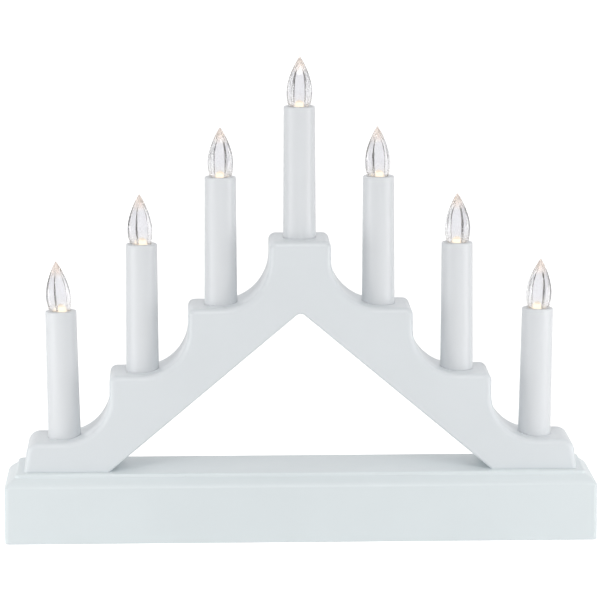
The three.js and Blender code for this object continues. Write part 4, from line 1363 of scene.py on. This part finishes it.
class CANDLE_ARCH_OT_screws(Operator):
    """Build the screws of the plinth, the feet and the back cover"""

    bl_idname = "candle_arch.screws"
    bl_label = "Screws"

    def execute(self, context):
        settings = context.scene.candle_arch
        power, colours = settings.power, settings.finishes
        finish = plated_steel("screw_steel_finish", colours.steel, colours.steel_gloss)
        tilt = Matrix.Rotation(QUARTER, 4, "X")
        for name in (*screw_nodes("base"), *screw_nodes("foot"), *screw_nodes("cover")):
            low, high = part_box(name)
            middle = node_middle(name)
            if name.startswith("cover"):
                long = high.y - low.y - power.head_height
                seat = (middle.x, high.y - power.head_height, middle.z)
                spot = Matrix.Translation(seat) @ tilt
            else:
                long = high.z - low.z - power.head_height
                spot = Matrix.Translation((middle.x, middle.y, low.z + power.head_height))
            show(f"{name}_cross", screw(power, long), finish, [name], place=spot)
        return {"FINISHED"}


# Cells and contacts


def cell(power):
    """A round cell along Z with its nub at the top."""
    half = power.cell_length / 2
    shoulder = half - power.nub_length
    crimp = power.cell_crimp
    outer = power.cell_radius - crimp
    nub = crimp / 2
    profile = [
        (0, -half + nub / 2),
        (outer - 2 * crimp, -half + nub / 2),
        (outer - crimp, -half),
        *arc(outer, crimp - half, crimp, -QUARTER, 0, CORNER_STEPS),
        *arc(outer, shoulder - crimp, crimp, 0, QUARTER, CORNER_STEPS),
        (outer - crimp, shoulder - nub),
        (power.nub_radius, shoulder - nub),
        *arc(power.nub_radius - nub, half - nub, nub, 0, QUARTER, CORNER_STEPS),
        (0, half),
    ]
    return turned(profile, TUBE_SIDES)


class CANDLE_ARCH_OT_cells(Operator):
    """Build the three cells in the battery bay"""

    bl_idname = "candle_arch.cells"
    bl_label = "Cells"

    def execute(self, context):
        settings = context.scene.candle_arch
        power, colours = settings.power, settings.finishes
        finish = cell_sleeve("cell_sleeve_finish", colours, power.cell_length)
        for number in CELLS:
            name = f"battery_cell_{number}"
            turn = QUARTER if number == MIDDLE_CELL else -QUARTER
            spot = Matrix.Translation(node_middle(name)) @ Matrix.Rotation(turn, 4, "Y")
            show(f"cell_{number}", cell(power), finish, [name], place=spot)
        return {"FINISHED"}


def coil(power):
    """A conical spring along X from its wide foot at zero."""
    long = power.spring_length - power.spring_wire
    path = []
    for t in spread(0, 1, int(SPRING_TURNS * COIL_STEPS)):
        swing = 2 * math.pi * SPRING_TURNS * t
        radius = power.spring_foot + (power.spring_tip - power.spring_foot) * t
        path.append(Vector((long * t, radius * math.cos(swing), radius * math.sin(swing))))
    rings = []
    for i, spot in enumerate(path):
        ahead = path[min(i + 1, len(path) - 1)] - path[max(i - 1, 0)]
        outward = Vector((0, spot.y, spot.z)).normalized()
        side = ahead.normalized().cross(outward).normalized()
        outward = side.cross(ahead.normalized())
        ring = circle(power.spring_wire, WIRE_SIDES)
        rings.append([spot + outward * a + side * b for a, b in ring])
    return loft(rings)


def contact(settings, name, springs, tail):
    """A contact plate at one end of the bay, with its springs and its solder tail."""
    power, plinth = settings.power, settings.plinth
    end = 1 if node_middle(name).x > 0 else -1
    low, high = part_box(name)
    wall = end * (plinth.bay_length / 2 - settings.arch.fit_gap)
    face = wall - end * power.contact
    middle = cell_seat(settings) + power.cell_radius
    x = sorted((face, wall))
    plate = block(x, (low.y, high.y), about(middle, power.contact_size))
    plate = softened(plate, power.contact / 4)
    pieces = []
    for number in springs:
        y = (number - MIDDLE_CELL) * cell_pitch(power)
        turn = Matrix.Rotation(math.pi if end > 0 else 0, 4, "Z")
        pieces.append(placed(coil(power), Matrix.Translation((face, y, middle)) @ turn))
    if tail:
        reach = sorted((face, end * (plinth.bay_length / 2 + plinth.bay_wall + power.tail_reach)))
        y = about(end * cell_pitch(power), power.tail_width)
        pieces.append(block(reach, y, about(middle + power.tail_raise, power.contact)))
    return joined(plate, *pieces) if pieces else plate


class CANDLE_ARCH_OT_contacts(Operator):
    """Build the battery contacts with their springs"""

    bl_idname = "candle_arch.contacts"
    bl_label = "Battery contacts"

    def execute(self, context):
        settings = context.scene.candle_arch
        colours = settings.finishes
        finish = plated_steel("spring_steel_finish", colours.steel, colours.contact_gloss)
        # The cells that press on each contact's springs, and whether it has a solder tail
        kinds = {
            "contact_positive": ((), True),
            "bridge_left": ((2,), False),
            "bridge_right": ((1,), False),
            "contact_negative": ((3,), True),
        }
        for name, (springs, tail) in kinds.items():
            solid = contact(settings, name, springs, tail)
            show(f"{name}_sprung", solid, finish, [name])
        return {"FINISHED"}


# Switch knob and hidden pieces


def switch_knob(settings):
    power = settings.power
    low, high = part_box("switch_slider")
    middle = (low.x + high.x) / 2
    head_low = high.z - power.knob_head
    head = block((low.x, high.x), (low.y, high.y), (head_low, high.z))
    knob_y = about(0, power.knob_width)
    knob = block(about(middle, power.knob_length), knob_y, (low.z, (head_low + high.z) / 2))
    ridges = []
    for i in (-1, 0, 1):
        groove = about(middle + i * power.knob_length / 4, power.knob_length / 10)
        ridges.append(block(groove, about(0, 2 * power.knob_width), (0, low.z + power.knob_groove)))
    return softened(cut(joined(head, knob), *ridges), power.knob_edge)


class CANDLE_ARCH_OT_switch(Operator):
    """Build the switch knob under the plinth"""

    bl_idname = "candle_arch.switch"
    bl_label = "Switch knob"

    def execute(self, context):
        settings = context.scene.candle_arch
        colours = settings.finishes
        finish = moulded_plastic("black_plastic_finish", colours.knob, colours.knob_gloss, 0.1)
        knob = switch_knob(settings)
        show("switch_knob", knob, finish, ["switch_slider"], "switch_slider")
        return {"FINISHED"}


class CANDLE_ARCH_OT_hidden(Operator):
    """Finish the pieces inside: circuit board, switch can and wires"""

    bl_idname = "candle_arch.hidden"
    bl_label = "Inner pieces"

    def execute(self, context):
        colours = context.scene.candle_arch.finishes
        clear_flex = wire_insulation("clear_flex_finish", colours.flex)
        finishes = {
            "timer_board": lacquered_board("circuit_board_finish", colours.board),
            "switch_body": plated_steel("switch_can_finish", colours.steel, colours.steel_gloss),
            "lead_positive": wire_insulation("red_insulation_finish", colours.red_wire),
            "lead_negative": wire_insulation("black_insulation_finish", colours.black_wire),
            "trunk_wire": clear_flex,
        }
        for number in range(1, len(CANDLE_PLACES) + 1):
            finishes[f"led_lead_{number}"] = clear_flex
        for name, finish in finishes.items():
            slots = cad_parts[name].material_slots
            if not slots:
                raise RuntimeError(f"{name} has no material slot")
            for slot in slots:
                slot.material = finish
        return {"FINISHED"}


# Stage


def stage_camera(stage):
    yaw, dip, roll = stage.camera_yaw, stage.camera_dip, stage.camera_roll
    ahead = Vector((math.sin(yaw) * math.cos(dip), math.cos(yaw) * math.cos(dip), -math.sin(dip)))
    right = Vector((math.cos(yaw), -math.sin(yaw), 0))
    up = right.cross(ahead)
    side = math.cos(roll) * right + math.sin(roll) * up
    top = math.cos(roll) * up - math.sin(roll) * right
    camera = as_object("photo_camera", bpy.data.cameras.new("photo_camera"))
    camera.data.sensor_width = SENSOR_WIDTH
    camera.data.lens = stage.lens
    camera.data.clip_start, camera.data.clip_end = CLIP_START, CLIP_END
    turn = Matrix((side, top, -ahead)).transposed().to_4x4()
    camera.matrix_world = Matrix.Translation(stage.camera_place) @ turn
    bpy.context.scene.camera = camera


def stage_lamp(name, place, aim, size, power):
    lamp = bpy.data.lights.new(name, "AREA")
    lamp.shape = "DISK"
    lamp.size = size
    lamp.energy = power
    holder = as_object(name, lamp)
    holder.location = place
    holder.rotation_mode = "QUATERNION"
    holder.rotation_quaternion = (Vector(aim) - Vector(place)).to_track_quat("-Z", "Y")
    holder.visible_camera = False
    holder.visible_transmission = False


def seen_directly(tree):
    """1 for rays that show the backdrop: from the camera, and in gloss or through clear plastic."""
    path = node(tree, "ShaderNodeLightPath").outputs
    gloss = reckoned(tree, "MAXIMUM", path["Is Glossy Ray"], path["Is Transmission Ray"])
    return path["Is Camera Ray"], gloss


def background(tree, shade, strength):
    return node(tree, "ShaderNodeBackground", {"Color": shade, "Strength": strength}).outputs[0]


def studio_world(stage):
    """Soft even light, a white backdrop and four upright dark flags that clear plastic picks up."""
    world = bpy.data.worlds.new("studio")
    bpy.context.scene.world = world
    tree = cleared_tree(world)
    camera_ray, clear_ray = seen_directly(tree)
    way = node(tree, "ShaderNodeTexCoord").outputs["Generated"]
    split = node(tree, "ShaderNodeSeparateXYZ", {"Vector": way}).outputs
    swing = reckoned(tree, "ARCTAN2", split["X"], split["Y"])
    wave = reckoned(tree, "COSINE", reckoned(tree, "MULTIPLY", swing, 2.0))
    away = reckoned(tree, "ABSOLUTE", reckoned(tree, "ADD", wave, FLAG_OFFSET))
    dark, pale = FLAG_EDGES
    flags = ramp(tree, away, (dark, stage.flag), (pale, stage.wall))
    soft = background(tree, WHITE, stage.room)
    unseen = mixed(tree, clear_ray, soft, background(tree, flags, 1.0))
    whole = mixed(tree, camera_ray, unseen, background(tree, WHITE, 1.0))
    node(tree, "ShaderNodeOutputWorld", {"Surface": whole})


def floor_finish(stage):
    """Pale floor that the camera sees as white with a soft shadow, and not at all from below."""
    finish = bpy.data.materials.new("floor_finish")
    tree = cleared_tree(finish)
    camera_ray, clear_ray = seen_directly(tree)
    through = reckoned(tree, "MULTIPLY", clear_ray, stage.floor_gloss)
    seen = reckoned(tree, "MAXIMUM", camera_ray, through)
    lift = reckoned(tree, "MULTIPLY", seen, stage.floor_lift)
    matt = node(tree, "ShaderNodeBsdfDiffuse", {"Color": (*stage.floor, 1.0)})
    shine = node(tree, "ShaderNodeEmission", {"Strength": lift})
    both = node(tree, "ShaderNodeAddShader", {0: matt.outputs[0], 1: shine.outputs[0]})
    gone = node(tree, "ShaderNodeBsdfTransparent")
    behind = node(tree, "ShaderNodeNewGeometry").outputs["Backfacing"]
    whole = mixed(tree, behind, both.outputs[0], gone.outputs[0])
    node(tree, "ShaderNodeOutputMaterial", {"Surface": whole})
    return finish


def stage_floor(settings):
    """A wide floor with an opening under the plinth, where soft light reaches the underside."""
    plinth, stage = settings.plinth, settings.stage
    edge = about(0, 2 * stage.floor_reach)
    opening = [about(0, size - 2 * stage.floor_lap) for size in (plinth.width, plinth.depth)]
    ground = bmesh.new()
    rings = (rectangle(edge, edge), rectangle(*opening))
    skinned(ground, [[(*corner, 0) for corner in ring] for ring in rings])
    mesh = as_mesh("floor", ground)
    mesh.materials.append(floor_finish(stage))
    plane = as_object("floor", mesh)
    plane.location.z = -stage.floor_drop


class CANDLE_ARCH_OT_stage(Operator):
    """Set up the floor, the studio light and the camera"""

    bl_idname = "candle_arch.stage"
    bl_label = "Stage"

    def execute(self, context):
        settings = context.scene.candle_arch
        stage = settings.stage
        context.scene.view_settings.view_transform = "Standard"
        stage_camera(stage)
        stage_floor(settings)
        studio_world(stage)
        aim = stage.lamp_aim
        x, y, z = stage.side_place
        for name, side in (("left_lamp", -x), ("right_lamp", x)):
            stage_lamp(name, (side, y, z), aim, stage.side_size, stage.side_lamps)
        stage_lamp("front_lamp", stage.front_place, aim, stage.front_size, stage.front_lamp)
        return {"FINISHED"}


# Panel


def fields(group):
    return [name for name in group.bl_rna.properties.keys() if name not in ("rna_type", "name")]


class CANDLE_ARCH_PT_sidebar(Panel):
    """Lists the settings and the building steps of the candle arch"""

    bl_idname = "CANDLE_ARCH_PT_sidebar"
    bl_label = "Candle arch"
    bl_space_type = "VIEW_3D"
    bl_region_type = "UI"
    bl_category = "Candle arch"

    def draw(self, context):
        settings = context.scene.candle_arch
        for step in STEPS:
            self.layout.operator(step.bl_idname)
        for name in fields(settings):
            group = getattr(settings, name)
            box = self.layout.box()
            box.label(text=name.capitalize())
            for field in fields(group):
                box.prop(group, field)


GROUPS = (
    ArchSizes,
    CandleSizes,
    FlameSizes,
    PlinthSizes,
    PowerSizes,
    FinishColours,
    StageSettings,
    CandleArchSettings,
)
STEPS = (
    CANDLE_ARCH_OT_stage,
    CANDLE_ARCH_OT_arch,
    CANDLE_ARCH_OT_plinth,
    CANDLE_ARCH_OT_battery_door,
    CANDLE_ARCH_OT_candles,
    CANDLE_ARCH_OT_flames,
    CANDLE_ARCH_OT_screws,
    CANDLE_ARCH_OT_cells,
    CANDLE_ARCH_OT_contacts,
    CANDLE_ARCH_OT_switch,
    CANDLE_ARCH_OT_hidden,
)


def register():
    for kind in (*GROUPS, *STEPS, CANDLE_ARCH_PT_sidebar):
        bpy.utils.register_class(kind)
    bpy.types.Scene.candle_arch = PointerProperty(type=CandleArchSettings)


def unregister():
    del bpy.types.Scene.candle_arch
    for kind in reversed((*GROUPS, *STEPS, CANDLE_ARCH_PT_sidebar)):
        bpy.utils.unregister_class(kind)


def main():
    register()
    for step in STEPS:
        getattr(bpy.ops.candle_arch, step.bl_idname.split(".")[1])()


if __name__ == "__main__":
    main()
